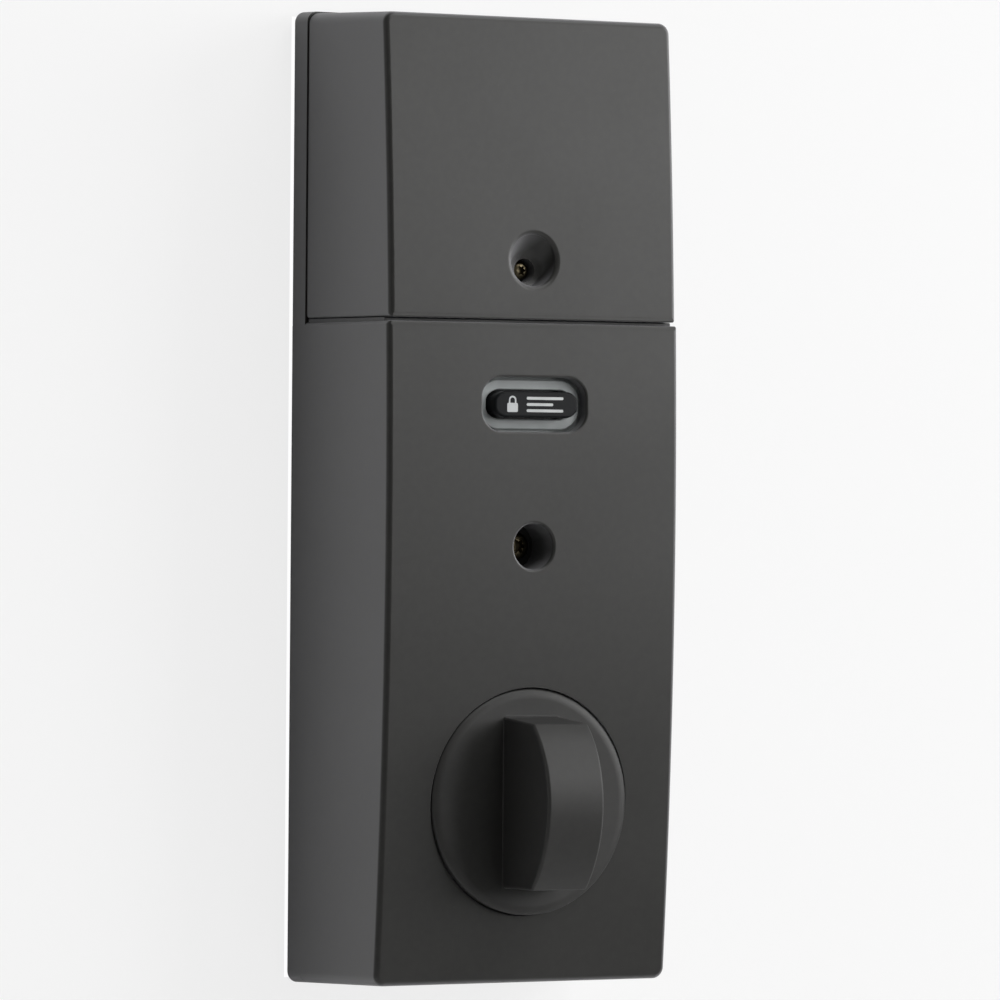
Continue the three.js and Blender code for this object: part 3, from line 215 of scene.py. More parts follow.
def turned(profile: list[tuple[float, float]], steps: int = 64) -> Shape:
    """Turn a profile of (radius, depth) about the depth axis, each ring a circle at its depth."""
    radii, depths = np.array(profile, float).T
    angle = np.linspace(0, 2 * np.pi, steps, endpoint=False)
    x = radii[:, None] * np.cos(angle)
    y = radii[:, None] * np.sin(angle)
    return loft(np.stack([x, y, np.broadcast_to(depths[:, None], x.shape)], axis=-1))


def turned_ring(profile: list[tuple[float, float]], steps: int = 96) -> Shape:
    """Turn a closed section of (radius, depth) about the depth axis, for a piece with a hole through it."""
    radii, depths = np.array(profile, float).T
    angle = np.linspace(0, 2 * np.pi, steps, endpoint=False)[:, None]
    x, y = radii * np.cos(angle), radii * np.sin(angle)
    return closed_loft(np.stack([x, y, np.broadcast_to(depths, x.shape)], axis=-1))


def eased(profile: list[tuple[float, float]], radius: float, steps: int = 4) -> list[tuple[float, float]]:
    """Round the inner corners of a profile.

    Each corner gives way to a quadratic curve that leaves and meets its two sides at the given distance, or
    at 0.45 of the shorter side.

    Args:
        profile: Corners of an open profile.
        radius: Distance from each corner at which its curve starts.
        steps: Pieces of each curve.

    Returns:
        The rounded profile, with its two ends where they were.
    """
    points = np.array(profile, float)
    share = np.linspace(0, 1, steps + 1)[:, None]
    out = [points[:1]]
    for before, corner, after in zip(points[:-2], points[1:-1], points[2:]):
        to_before, to_after = before - corner, after - corner
        reach = min(radius, 0.45 * np.linalg.norm(to_before), 0.45 * np.linalg.norm(to_after))
        start = corner + to_before / np.linalg.norm(to_before) * reach
        end = corner + to_after / np.linalg.norm(to_after) * reach
        out.append((1 - share) ** 2 * start + 2 * share * (1 - share) * corner + share**2 * end)
    out.append(points[-1:])
    return [tuple(point) for point in np.vstack(out)]


def rounded_outline(width: float, height: float, radius: float, steps: int = 8) -> tuple[Array, Array]:
    """Outline of a rounded rectangle round the origin, and its outward normals.

    Each corner is a quarter circle of the radius about a point that lies the radius in from both sides.

    Returns:
        (points, normals), each of (point, 2).
    """
    angle = np.linspace(0, np.pi / 2, steps + 1)
    centres = np.array([[1, 1], [-1, 1], [-1, -1], [1, -1]]) * [width / 2 - radius, height / 2 - radius]
    starts = np.arange(4) * np.pi / 2
    normals = np.stack([np.cos(starts[:, None] + angle), np.sin(starts[:, None] + angle)], axis=-1)
    points = centres[:, None] + radius * normals
    return points.reshape(-1, 2), normals.reshape(-1, 2)


def normals_of(points: Array) -> Array:
    """Outward normals of an anticlockwise outline: each chord between neighbours, turned by -90°."""
    along = np.roll(points, -1, axis=0) - np.roll(points, 1, axis=0)
    along /= np.linalg.norm(along, axis=1, keepdims=True)
    return np.stack([along[:, 1], -along[:, 0]], axis=-1)


def prism(outline: Array, back: float, front: float) -> Shape:
    """Straight bar of an outline between two depths."""
    return bar_of(outline, [(0, back), (0, front)])


def bar_of(outline: Array, stages: list[tuple[float, float]]) -> Shape:
    """Stack an outline at several depths, moved outwards along its normals by each stage's offset."""
    normals = normals_of(outline)
    rings = [np.column_stack([outline + normals * grow, np.full(len(outline), at)]) for grow, at in stages]
    return loft(np.stack(rings))


def edge_stages(back: float, front: float, edge: float, steps: int = 5) -> list[tuple[float, float]]:
    """Stages of a bar whose front edge is a quarter circle: in by edge(1 - cos a), and up by edge sin a."""
    angle = np.linspace(0, np.pi / 2, steps + 1)
    rounding = zip(-edge * (1 - np.cos(angle)), front - edge + edge * np.sin(angle))
    return [(0, back), *((float(grow), float(at)) for grow, at in rounding)]


def tube(
    path: Array, radius: float, sides: int = 12, upright: tuple[float, float, float] = (1, 1, 1)
) -> Shape:
    """Round wire: at each point of the path a circle square to it, set by a cross product with `upright`."""
    along = np.gradient(path, axis=0)
    along /= np.linalg.norm(along, axis=1, keepdims=True)
    across = np.cross(along, np.array(upright, float))
    across /= np.linalg.norm(across, axis=1, keepdims=True)
    third = np.cross(along, across)
    ring = circle(radius, sides)
    return loft(path[:, None] + across[:, None] * ring[None, :, :1] + third[:, None] * ring[None, :, 1:])


def smooth_path(points: list[tuple[float, float, float]], steps: int = 10) -> Array:
    """Smooth cubic through given points, whose slope at each is half the step between its neighbours."""
    p = np.array(points, float)
    padded = np.vstack([2 * p[0] - p[1], p, 2 * p[-1] - p[-2]])
    a, b, c, d = padded[:-3, None], padded[1:-2, None], padded[2:-1, None], padded[3:, None]
    t = np.linspace(0, 1, steps, endpoint=False)[None, :, None]
    curve = 0.5 * (2 * b + (c - a) * t + (2 * a - 5 * b + 4 * c - d) * t**2 + (3 * b - a - 3 * c + d) * t**3)
    return np.vstack([curve.reshape(-1, 3), p[-1:]])


# ---------------------------------------------------------------------------------------------------------
# Objects, and the ways they are joined
# ---------------------------------------------------------------------------------------------------------


class Joining(Enum):
    """How a second shape changes the first."""

    ADD = "UNION"
    CUT = "DIFFERENCE"
    KEEP = "INTERSECT"


def to_frame(points: Array) -> Array:
    """Turn the lock's own millimetres (x, y, depth) into the frame's metres (x, -depth, y)."""
    x, y, depth = points.T
    return np.column_stack([x, -depth, y]) / MM


def new_object(name: str, shape: Shape) -> bpy.types.Object:
    """Make an object at the origin from a shape, with its place in its mesh."""
    mesh = bpy.data.meshes.new(name)
    mesh.from_pydata(to_frame(shape.points).tolist(), [], shape.faces)
    mesh.validate()
    made = bpy.data.objects.new(name, mesh)
    bpy.context.scene.collection.objects.link(made)
    return made


def combine(base: bpy.types.Object, changes: list[tuple[Joining, Shape]]) -> bpy.types.Object:
    """Join or cut shapes into an object, one after another.

    Args:
        base: The object to change.
        changes: Each shape with the way that it is joined.

    Returns:
        The same object, with its new mesh and no modifier left.
    """
    tools = []
    for how, shape in changes:
        tool = new_object("tool", shape)
        step = base.modifiers.new("step", "BOOLEAN")
        step.operation = how.value
        step.solver = "EXACT"
        step.object = tool
        tools.append(tool)
    shown = bpy.context.evaluated_depsgraph_get()
    result = bpy.data.meshes.new_from_object(base.evaluated_get(shown))
    base.modifiers.clear()
    base.data = result
    for tool in tools:
        bpy.data.objects.remove(tool)
    return base


def taken_back(item: bpy.types.Object) -> Shape:
    """Read an object's mesh back as a shape in the lock's own millimetres, and remove the object."""
    mesh = item.data
    places = np.zeros(len(mesh.vertices) * 3)
    mesh.vertices.foreach_get("co", places)
    x, y, z = places.reshape(-1, 3).T
    corners, starts = np.zeros(len(mesh.loops), np.int32), np.zeros(len(mesh.polygons), np.int32)
    mesh.loops.foreach_get("vertex_index", corners)
    mesh.polygons.foreach_get("loop_start", starts)
    faces = [part.tolist() for part in np.split(corners, starts[1:])]
    bpy.data.objects.remove(item)
    return Shape(np.column_stack([x, z, -y]) * MM, faces)


def finish_surface(made: bpy.types.Object) -> None:
    """Merge doubled points, mark the sharp edges, and weight the normals so that flat faces stay flat."""
    work = bmesh.new()
    work.from_mesh(made.data)
    bmesh.ops.remove_doubles(work, verts=work.verts, dist=MERGE_DISTANCE)
    bmesh.ops.dissolve_degenerate(work, dist=MERGE_DISTANCE, edges=work.edges)
    work.to_mesh(made.data)
    work.free()
    made.data.shade_smooth()
    made.data.set_sharp_from_angle(angle=SHARP_ANGLE)
    weighted = made.modifiers.new("even normals", "WEIGHTED_NORMAL")
    weighted.keep_sharp = True


def dress(made: bpy.types.Object, node: str, finishes: "Finishes", stands_for: bool = True) -> None:
    """Finish a piece, give it its node's material and slot, and let it ride with its node's body.

    Args:
        made: The piece.
        node: The CAD node that it stands for, or that it is fixed to.
        finishes: The materials, by slot.
        stands_for: Whether it takes the node's place.
    """
    finish_surface(made)
    slot = SLOT_OF[node]
    made.data.materials.clear()
    made.data.materials.append(finishes.of_slot(slot))
    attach(made, BODY_OF[node])
    if stands_for:
        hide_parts(node)
    log.info("%s: %d points, on %s", made.name, len(made.data.vertices), BODY_OF[node])


# ---------------------------------------------------------------------------------------------------------
# Shader effects that several finishes share
# ---------------------------------------------------------------------------------------------------------


@dataclass
class Nodes:
    """A node tree with short ways to add and join nodes."""

    tree: bpy.types.NodeTree

    def add(self, kind: str, **values: object) -> bpy.types.Node:
        """Add a node and set its properties."""
        node = self.tree.nodes.new(kind)
        for name, value in values.items():
            setattr(node, name, value)
        return node

    def join(self, source: bpy.types.NodeSocket, target: bpy.types.NodeSocket) -> None:
        """Link an output to an input."""
        self.tree.links.new(source, target)

    def feed(self, value: bpy.types.NodeSocket | float, target: bpy.types.NodeSocket) -> None:
        """Set an input to a number, or link a socket to it."""
        if isinstance(value, (int, float)):
            target.default_value = value
        else:
            self.join(value, target)

    def noise(
        self, vector: bpy.types.NodeSocket, scale: bpy.types.NodeSocket | float, detail: float = 3,
        distortion: float = 0,
    ) -> bpy.types.NodeSocket:
        """Noise of the given scale, as its 0 to 1 value."""
        node = self.add("ShaderNodeTexNoise")
        node.inputs["Detail"].default_value = detail
        node.inputs["Distortion"].default_value = distortion
        self.join(vector, node.inputs["Vector"])
        self.feed(scale, node.inputs["Scale"])
        return node.outputs["Fac"]

    def ramp(
        self, source: bpy.types.NodeSocket, low: float, high: float, to: tuple[float, float] = (0, 1)
    ) -> bpy.types.NodeSocket:
        """Carry the range from low to high over to the range `to`, held at its ends."""
        node = self.add("ShaderNodeMapRange", clamp=True)
        node.inputs["From Min"].default_value = low
        node.inputs["From Max"].default_value = high
        node.inputs["To Min"].default_value, node.inputs["To Max"].default_value = to
        self.join(source, node.inputs["Value"])
        return node.outputs["Result"]

    def math(
        self, how: str, a: bpy.types.NodeSocket, b: bpy.types.NodeSocket | float
    ) -> bpy.types.NodeSocket:
        """Combine two values."""
        node = self.add("ShaderNodeMath", operation=how)
        self.join(a, node.inputs[0])
        self.feed(b, node.inputs[1])
        return node.outputs[0]

    def mix(
        self, share: bpy.types.NodeSocket, a: bpy.types.NodeSocket | tuple, b: bpy.types.NodeSocket | tuple
    ) -> bpy.types.NodeSocket:
        """Mix two colours, each a plain colour or a socket, by a 0 to 1 share."""
        node = self.add("ShaderNodeMix", data_type="RGBA")
        self.join(share, node.inputs["Factor"])
        for colour, place in zip((a, b), MIX_COLOURS):
            if isinstance(colour, tuple):
                node.inputs[place].default_value = (*colour, 1)
            else:
                self.join(colour, node.inputs[place])
        return node.outputs[MIX_RESULT]


def new_group(
    name: str, inputs: dict[str, float], outputs: list[str]
) -> tuple[bpy.types.NodeTree, Nodes, dict, dict]:
    """Start a node group with a Vector input and the given value inputs and outputs.

    Returns:
        (the group, its nodes, its input sockets by name, its output sockets by name).
    """
    tree = bpy.data.node_groups.new(name, "ShaderNodeTree")
    tree.interface.new_socket("Vector", in_out="INPUT", socket_type="NodeSocketVector")
    for label, value in inputs.items():
        socket = tree.interface.new_socket(label, in_out="INPUT", socket_type="NodeSocketFloat")
        socket.default_value = value
    for label in outputs:
        tree.interface.new_socket(label, in_out="OUTPUT", socket_type="NodeSocketFloat")
    nodes = Nodes(tree)
    entry, leave = nodes.add("NodeGroupInput"), nodes.add("NodeGroupOutput")
    return tree, nodes, dict(entry.outputs.items()), dict(leave.inputs.items())


def grain_group() -> bpy.types.NodeTree:
    """Coating or moulding grain: two sizes of noise added for the height, and the coarse one as a mask."""
    sizes = {"Scale": 900.0, "Coarse": 0.35}
    tree, nodes, given, out = new_group("surface grain", sizes, ["Height", "Speckle"])
    fine = nodes.noise(given["Vector"], given["Scale"], detail=2)
    coarse = nodes.noise(given["Vector"], nodes.math("MULTIPLY", given["Scale"], 0.22), detail=1)
    weighted = nodes.math("MULTIPLY", coarse, given["Coarse"])
    nodes.join(nodes.math("ADD", fine, weighted), out["Height"])
    nodes.join(nodes.ramp(coarse, 0.35, 0.65), out["Speckle"])
    return tree


def handling_group() -> bpy.types.NodeTree:
    """Faint marks of handling: broad soft noise for smudges, and sparse specks of fine noise for dust."""
    tree, nodes, given, out = new_group("handling marks", {"Scale": 18.0}, ["Smudge", "Dust"])
    broad = nodes.noise(given["Vector"], given["Scale"], detail=4, distortion=0.6)
    nodes.join(nodes.ramp(broad, 0.42, 0.68), out["Smudge"])
    specks = nodes.noise(given["Vector"], nodes.math("MULTIPLY", given["Scale"], 90.0), detail=1)
    nodes.join(nodes.ramp(specks, 0.72, 0.8), out["Dust"])
    return tree


def brushing_group() -> bpy.types.NodeTree:
    """Drawn lines on metal: noise squeezed 40 to 1 across the lines, for the height and for a streak mask."""
    tree, nodes, given, out = new_group("drawn lines", {"Scale": 120.0}, ["Height", "Streak"])
    squeezed = nodes.add("ShaderNodeMapping")
    squeezed.inputs["Scale"].default_value = (1, 1, 0.025)
    nodes.join(given["Vector"], squeezed.inputs["Vector"])
    lines = nodes.noise(squeezed.outputs["Vector"], nodes.math("MULTIPLY", given["Scale"], 12.0))
    nodes.join(lines, out["Height"])
    nodes.join(nodes.ramp(lines, 0.35, 0.65), out["Streak"])
    return tree


# ---------------------------------------------------------------------------------------------------------
# Finishes
# ---------------------------------------------------------------------------------------------------------


class Effect(Enum):
    """The shared effect that gives a finish its fine surface."""

    GRAIN = "surface grain"
    BRUSHING = "drawn lines"


@dataclass(frozen=True)
class Finish:
    """How one material slot looks. The colour comes from the record's slot."""

    roughness: tuple[float, float] = (0.45, 0.6)
    metallic: float = 0.0
    effect: Effect = Effect.GRAIN
    scale: float = 900.0
    bump: float = 0.02
    variation: float = 0.12
    specular: float = 0.5
    tone: float = 1.0
    # share of a lighter colour painted in at a slant: a painted highlight in place of grazing light
    painted_sheen: float = 0.0
    coat: float = 0.0
    subsurface: float = 0.0
    dust: float = 0.06


METAL = Finish(
    roughness=(0.28, 0.42), metallic=1.0, effect=Effect.BRUSHING, scale=120, bump=0.01, variation=0.16,
)
PLASTIC = Finish(roughness=(0.42, 0.56), scale=1400, bump=0.015)
FINISH_OF = {
    "housing_paint": Finish(
        roughness=(0.34, 0.4), scale=2600, bump=0.012, variation=0.05, specular=0.37, tone=0.45, dust=0.02,
        painted_sheen=0.62,
    ),
    "thumbturn_paint": Finish(
        roughness=(0.46, 0.52), scale=2600, bump=0.01, variation=0.05, specular=0.38, tone=0.47, dust=0.02,
        painted_sheen=0.04,
    ),
    "plate_steel": METAL,
    "gear_plate_steel": replace(METAL, roughness=(0.25, 0.36)),
    "screw_steel": replace(METAL, roughness=(0.3, 0.42), scale=300),
    # The low tone darkens the screws that show at the face: painted shade of the deep holes that they sit in
    "visible_screw": replace(METAL, roughness=(0.3, 0.46), scale=400, variation=0.3, tone=0.2),
    "brass": replace(METAL, roughness=(0.22, 0.34), scale=260),
    "spindle_metal": Finish(roughness=(0.42, 0.6), metallic=0.9, scale=700, bump=0.06, variation=0.2),
    "pin_steel": replace(METAL, roughness=(0.14, 0.22), scale=500),
    "magnet_nickel": replace(METAL, roughness=(0.1, 0.18), scale=500, bump=0.003),
    "gear_plastic": replace(PLASTIC, roughness=(0.34, 0.44), subsurface=0.12),
    "chassis_plastic": replace(PLASTIC, roughness=(0.5, 0.66), scale=1100, bump=0.035),
    "motor_steel": replace(METAL, roughness=(0.2, 0.3), scale=200),
    "pale_plastic": replace(PLASTIC, subsurface=0.06),
    "board_laminate": Finish(roughness=(0.24, 0.34), scale=1600, bump=0.02, variation=0.3, coat=0.4),
    "component_black": replace(PLASTIC, roughness=(0.4, 0.52), scale=2200),
    "capacitor_sleeve": replace(PLASTIC, roughness=(0.22, 0.32), scale=900),
    "radio_can": replace(METAL, roughness=(0.26, 0.38), scale=90),
    "plunger_plastic": PLASTIC,
    "button_gloss": Finish(
        roughness=(0.08, 0.14), scale=500, bump=0.002, variation=0.05, specular=0.05, dust=0.02,
    ),
    "light_pipe": Finish(
        roughness=(0.4, 0.5), scale=1500, bump=0.006, variation=0.04, specular=0.3, tone=1.35, subsurface=0.1,
    ),
    "contact_metal": replace(METAL, roughness=(0.18, 0.3), scale=240),
    "cell_wrap": Finish(roughness=(0.2, 0.3), metallic=0.2, scale=420, bump=0.006, coat=0.4),
    "wire_black": replace(PLASTIC, roughness=(0.34, 0.44), scale=1800),
    "wire_red": replace(PLASTIC, roughness=(0.34, 0.44), scale=1800),
    "wire_grey": replace(PLASTIC, roughness=(0.34, 0.44), scale=1800),
}


@dataclass
class Finishes:
    """Every material of the lock, made once from the finishes and handed out by slot."""

    made: dict[str, bpy.types.Material] = field(default_factory=dict)

    def __post_init__(self) -> None:
        """Build the groups that the materials share."""
        self.grain = grain_group()
        self.brushing = brushing_group()
        self.handling = handling_group()

    def of_slot(self, slot: str) -> bpy.types.Material:
        """The material of a slot, made at its first use."""
        if slot not in self.made:
            self.made[slot] = self.build(slot.replace("_", " "), tuple(COLOUR_OF[slot]), FINISH_OF[slot])
        return self.made[slot]

    @staticmethod
    def group(
        nodes: Nodes, tree: bpy.types.NodeTree, at: bpy.types.NodeSocket, scale: float
    ) -> bpy.types.Node:
        """Place a shared group in a material, at its own scale."""
        node = nodes.add("ShaderNodeGroup", node_tree=tree)
        nodes.join(at, node.inputs["Vector"])
        node.inputs["Scale"].default_value = scale
        return node

    def build(self, name: str, colour: tuple[float, float, float], look: Finish) -> bpy.types.Material:
        """Build one material.

        The colour swings between a darker and a lighter shade with the surface mask, and pale dust lies on
        top. Where a finish asks for it, a lighter colour is painted in where the face is seen at a slant,
        as a painted highlight in place of grazing light. The roughness swings with the smudges, and the fine
        height goes to a bump.

        Args:
            name: The material's name.
            colour: Linear base colour.
            look: The finish.

        Returns:
            The material.
        """
        material = bpy.data.materials.new(name)
        material.use_nodes = True
        nodes = Nodes(material.node_tree)
        shader = material.node_tree.nodes["Principled BSDF"]
        where = nodes.add("ShaderNodeTexCoord").outputs["Object"]
        brushed = look.effect is Effect.BRUSHING
        surface = self.group(nodes, self.brushing if brushed else self.grain, where, look.scale)
        marks = self.group(nodes, self.handling, where, 18)
        mask = surface.outputs["Streak" if brushed else "Speckle"]
        darker = tuple(c * look.tone * (1 - look.variation) for c in colour)
        lighter = tuple(min(1.0, c * look.tone * (1 + look.variation)) for c in colour)
        shade = nodes.mix(mask, darker, lighter)
        shade = nodes.mix(nodes.math("MULTIPLY", marks.outputs["Dust"], look.dust), shade, DUST_COLOUR)
        # Painted highlight: the base colour is lightened where the face is seen at a slant, in place of the
        # grazing light from the pale panel
        if look.painted_sheen:
            slant = nodes.add("ShaderNodeLayerWeight")
            slant.inputs["Blend"].default_value = 0.5
            painted_sheen_share = nodes.ramp(slant.outputs["Facing"], 0.2, 0.6, (0, look.painted_sheen))
            shade = nodes.mix(painted_sheen_share, shade, PAINTED_SHEEN_COLOUR)
        nodes.join(shade, shader.inputs["Base Color"])
        nodes.join(nodes.ramp(marks.outputs["Smudge"], 0, 1, look.roughness), shader.inputs["Roughness"])
        bump = nodes.add("ShaderNodeBump")
        bump.inputs["Strength"].default_value = 0.5
        bump.inputs["Distance"].default_value = look.bump / MM
        nodes.join(surface.outputs["Height"], bump.inputs["Height"])
        nodes.join(bump.outputs["Normal"], shader.inputs["Normal"])
        shader.inputs["Metallic"].default_value = look.metallic
        shader.inputs["Specular IOR Level"].default_value = look.specular
        shader.inputs["Coat Weight"].default_value = look.coat
        shader.inputs["Coat Roughness"].default_value = 0.08
        if look.subsurface:
            shader.inputs["Subsurface Weight"].default_value = look.subsurface
            shader.inputs["Subsurface Radius"].default_value = (0.002, 0.002, 0.002)
            shader.inputs["Subsurface Scale"].default_value = 1.0
        return material


# ---------------------------------------------------------------------------------------------------------
# The housing
# ---------------------------------------------------------------------------------------------------------


@dataclass(frozen=True)
class Bow:
    """The outer face: its depth falls from the middle to the ends as a parabola."""

    half_height: float
    end_depth: float
    rise: float

    def depth(self, y: Array | float) -> Array | float:
        """End depth plus the rise times one less the square of the share of the half height."""
        return self.end_depth + self.rise * (1 - (y / self.half_height) ** 2)


@dataclass(frozen=True)
class BowedBlock:
    """Block with drafted sides, rounded corners and edges, and a front that follows the bow."""

    half: float
    low: float
    high: float
    back: float
    under: float = 0.0
    corner_low: float = 2.5
    corner_high: float = 2.5
    edge_side: float = 1.2
    edge_low: float = 1.2
    edge_high: float = 1.2
    draft: float = 1.0
    draft_low: float = 1.0
    draft_high: float = 1.0
    corner_steps: int = 8
    side_steps: int = 110
    edge_steps: int = 7

    def side(self, drafted: float) -> tuple[Array, Array]:
        """Right side upwards, as corner arc, straight side and corner arc, and its outward normals."""
        w = self.half - drafted * self.draft
        y0 = self.low + drafted * self.draft * self.draft_low
        y1 = self.high - drafted * self.draft * self.draft_high
        turn = np.linspace(0, np.pi / 2, self.corner_steps + 1)
        low_normals = np.stack([np.sin(turn), -np.cos(turn)], axis=-1)
        high_normals = np.stack([np.cos(turn), np.sin(turn)], axis=-1)
        low = np.array([w - self.corner_low, y0 + self.corner_low]) + self.corner_low * low_normals
        high = np.array([w - self.corner_high, y1 - self.corner_high]) + self.corner_high * high_normals
        rise = np.linspace(low[-1, 1], high[0, 1], self.side_steps + 1)[1:-1]
        straight = np.column_stack([np.full(len(rise), w), rise])
        along = np.tile([1.0, 0.0], (len(rise), 1))
        return np.vstack([low, straight, high]), np.vstack([low_normals, along, high_normals])

    def shape(self, bow: Bow) -> Shape:
        """Skin the block.

        The edge at an outline point has the side's radius times the square of the normal's x, plus the end's
        radius times the square of its y. At turn a it lies in by radius(1 - cos a) and down by radius(1 - sin a).
        """
        rings = []
        base, _ = self.side(0)
        rings.append(self.ring(base, np.full(len(base), self.back)))
        front, normals = self.side(1)
        end_edge = np.where(front[:, 1] > (self.low + self.high) / 2, self.edge_high, self.edge_low)
        radius = self.edge_side * normals[:, 0] ** 2 + end_edge * normals[:, 1] ** 2
        for turn in np.linspace(0, np.pi / 2, self.edge_steps + 1):
            points = front - normals * (radius * (1 - np.cos(turn)))[:, None]
            depth = bow.depth(points[:, 1]) - self.under - radius * (1 - np.sin(turn))
            rings.append(self.ring(points, depth))
        return loft(np.stack(rings), strips=True)

    @staticmethod
    def ring(side: Array, depth: Array) -> Array:
        """Whole ring: the right side upwards, then its mirror image downwards."""
        right = np.column_stack([side, depth])
        left = right[::-1] * np.array([-1, 1, 1])
        return np.vstack([right, left])


def box_shape(x0: float, x1: float, y0: float, y1: float, back: float, front: float) -> Shape:
    """Plain block between six sides, used only to join or cut."""
    outline = np.array([[x0, y0], [x1, y0], [x1, y1], [x0, y1]], float)
    rings = np.stack([np.column_stack([outline, np.full(4, at)]) for at in (back, front)])
    return loft(rings)


def face_hole(outline: Array, floor: float, lip: float, bow: Bow, steps: int = 6) -> Shape:
    """Cutter for a straight hole with a rounded lip that follows the bowed face.

    The lip's radius runs out along the outline's normals by lip(1 - cos a), at a depth below the face of
    lip(1 - sin a), and the cutter then leaves straight up.

    Args:
        outline: The hole's outline where it is straight.
        floor: Depth at which it starts.
        lip: Radius of the rounded lip.
        bow: The outer face.
        steps: Pieces of the lip's curve.

    Returns:
        The closed cutter.
    """
    normals = normals_of(outline)
    rings = [np.column_stack([outline, np.full(len(outline), floor)])]
    for turn in np.linspace(0, np.pi / 2, steps + 1):
        points = outline + normals * lip * (1 - np.cos(turn))
        depth = bow.depth(points[:, 1]) - lip * (1 - np.sin(turn))
        rings.append(np.column_stack([points, depth]))
    last = rings[-1].copy()
    last[:, 2] += CLEARING
    rings.append(last)
    return loft(np.stack(rings))


def bar_shape(x: float, y: float, radius: float, back: float, front: float, steps: int = 40) -> Shape:
    """Round bar along the depth axis."""
    return turned([(radius, back), (radius, front)], steps).moved(x, y)


def oval_outline(width: float, height: float, bow: float = 0.9) -> Array:
    """Rounded rectangle whose two ends bow out, round the origin.

    The ends move out by the bow times one less the square of the share of the half height.
    """
    points, _ = rounded_outline(width - 2 * bow, height, min(0.36 * height, 4), 9)
    share = points[:, 1] / (height / 2)
    points[:, 0] += np.sign(points[:, 0]) * bow * (1 - share**2)
    return points


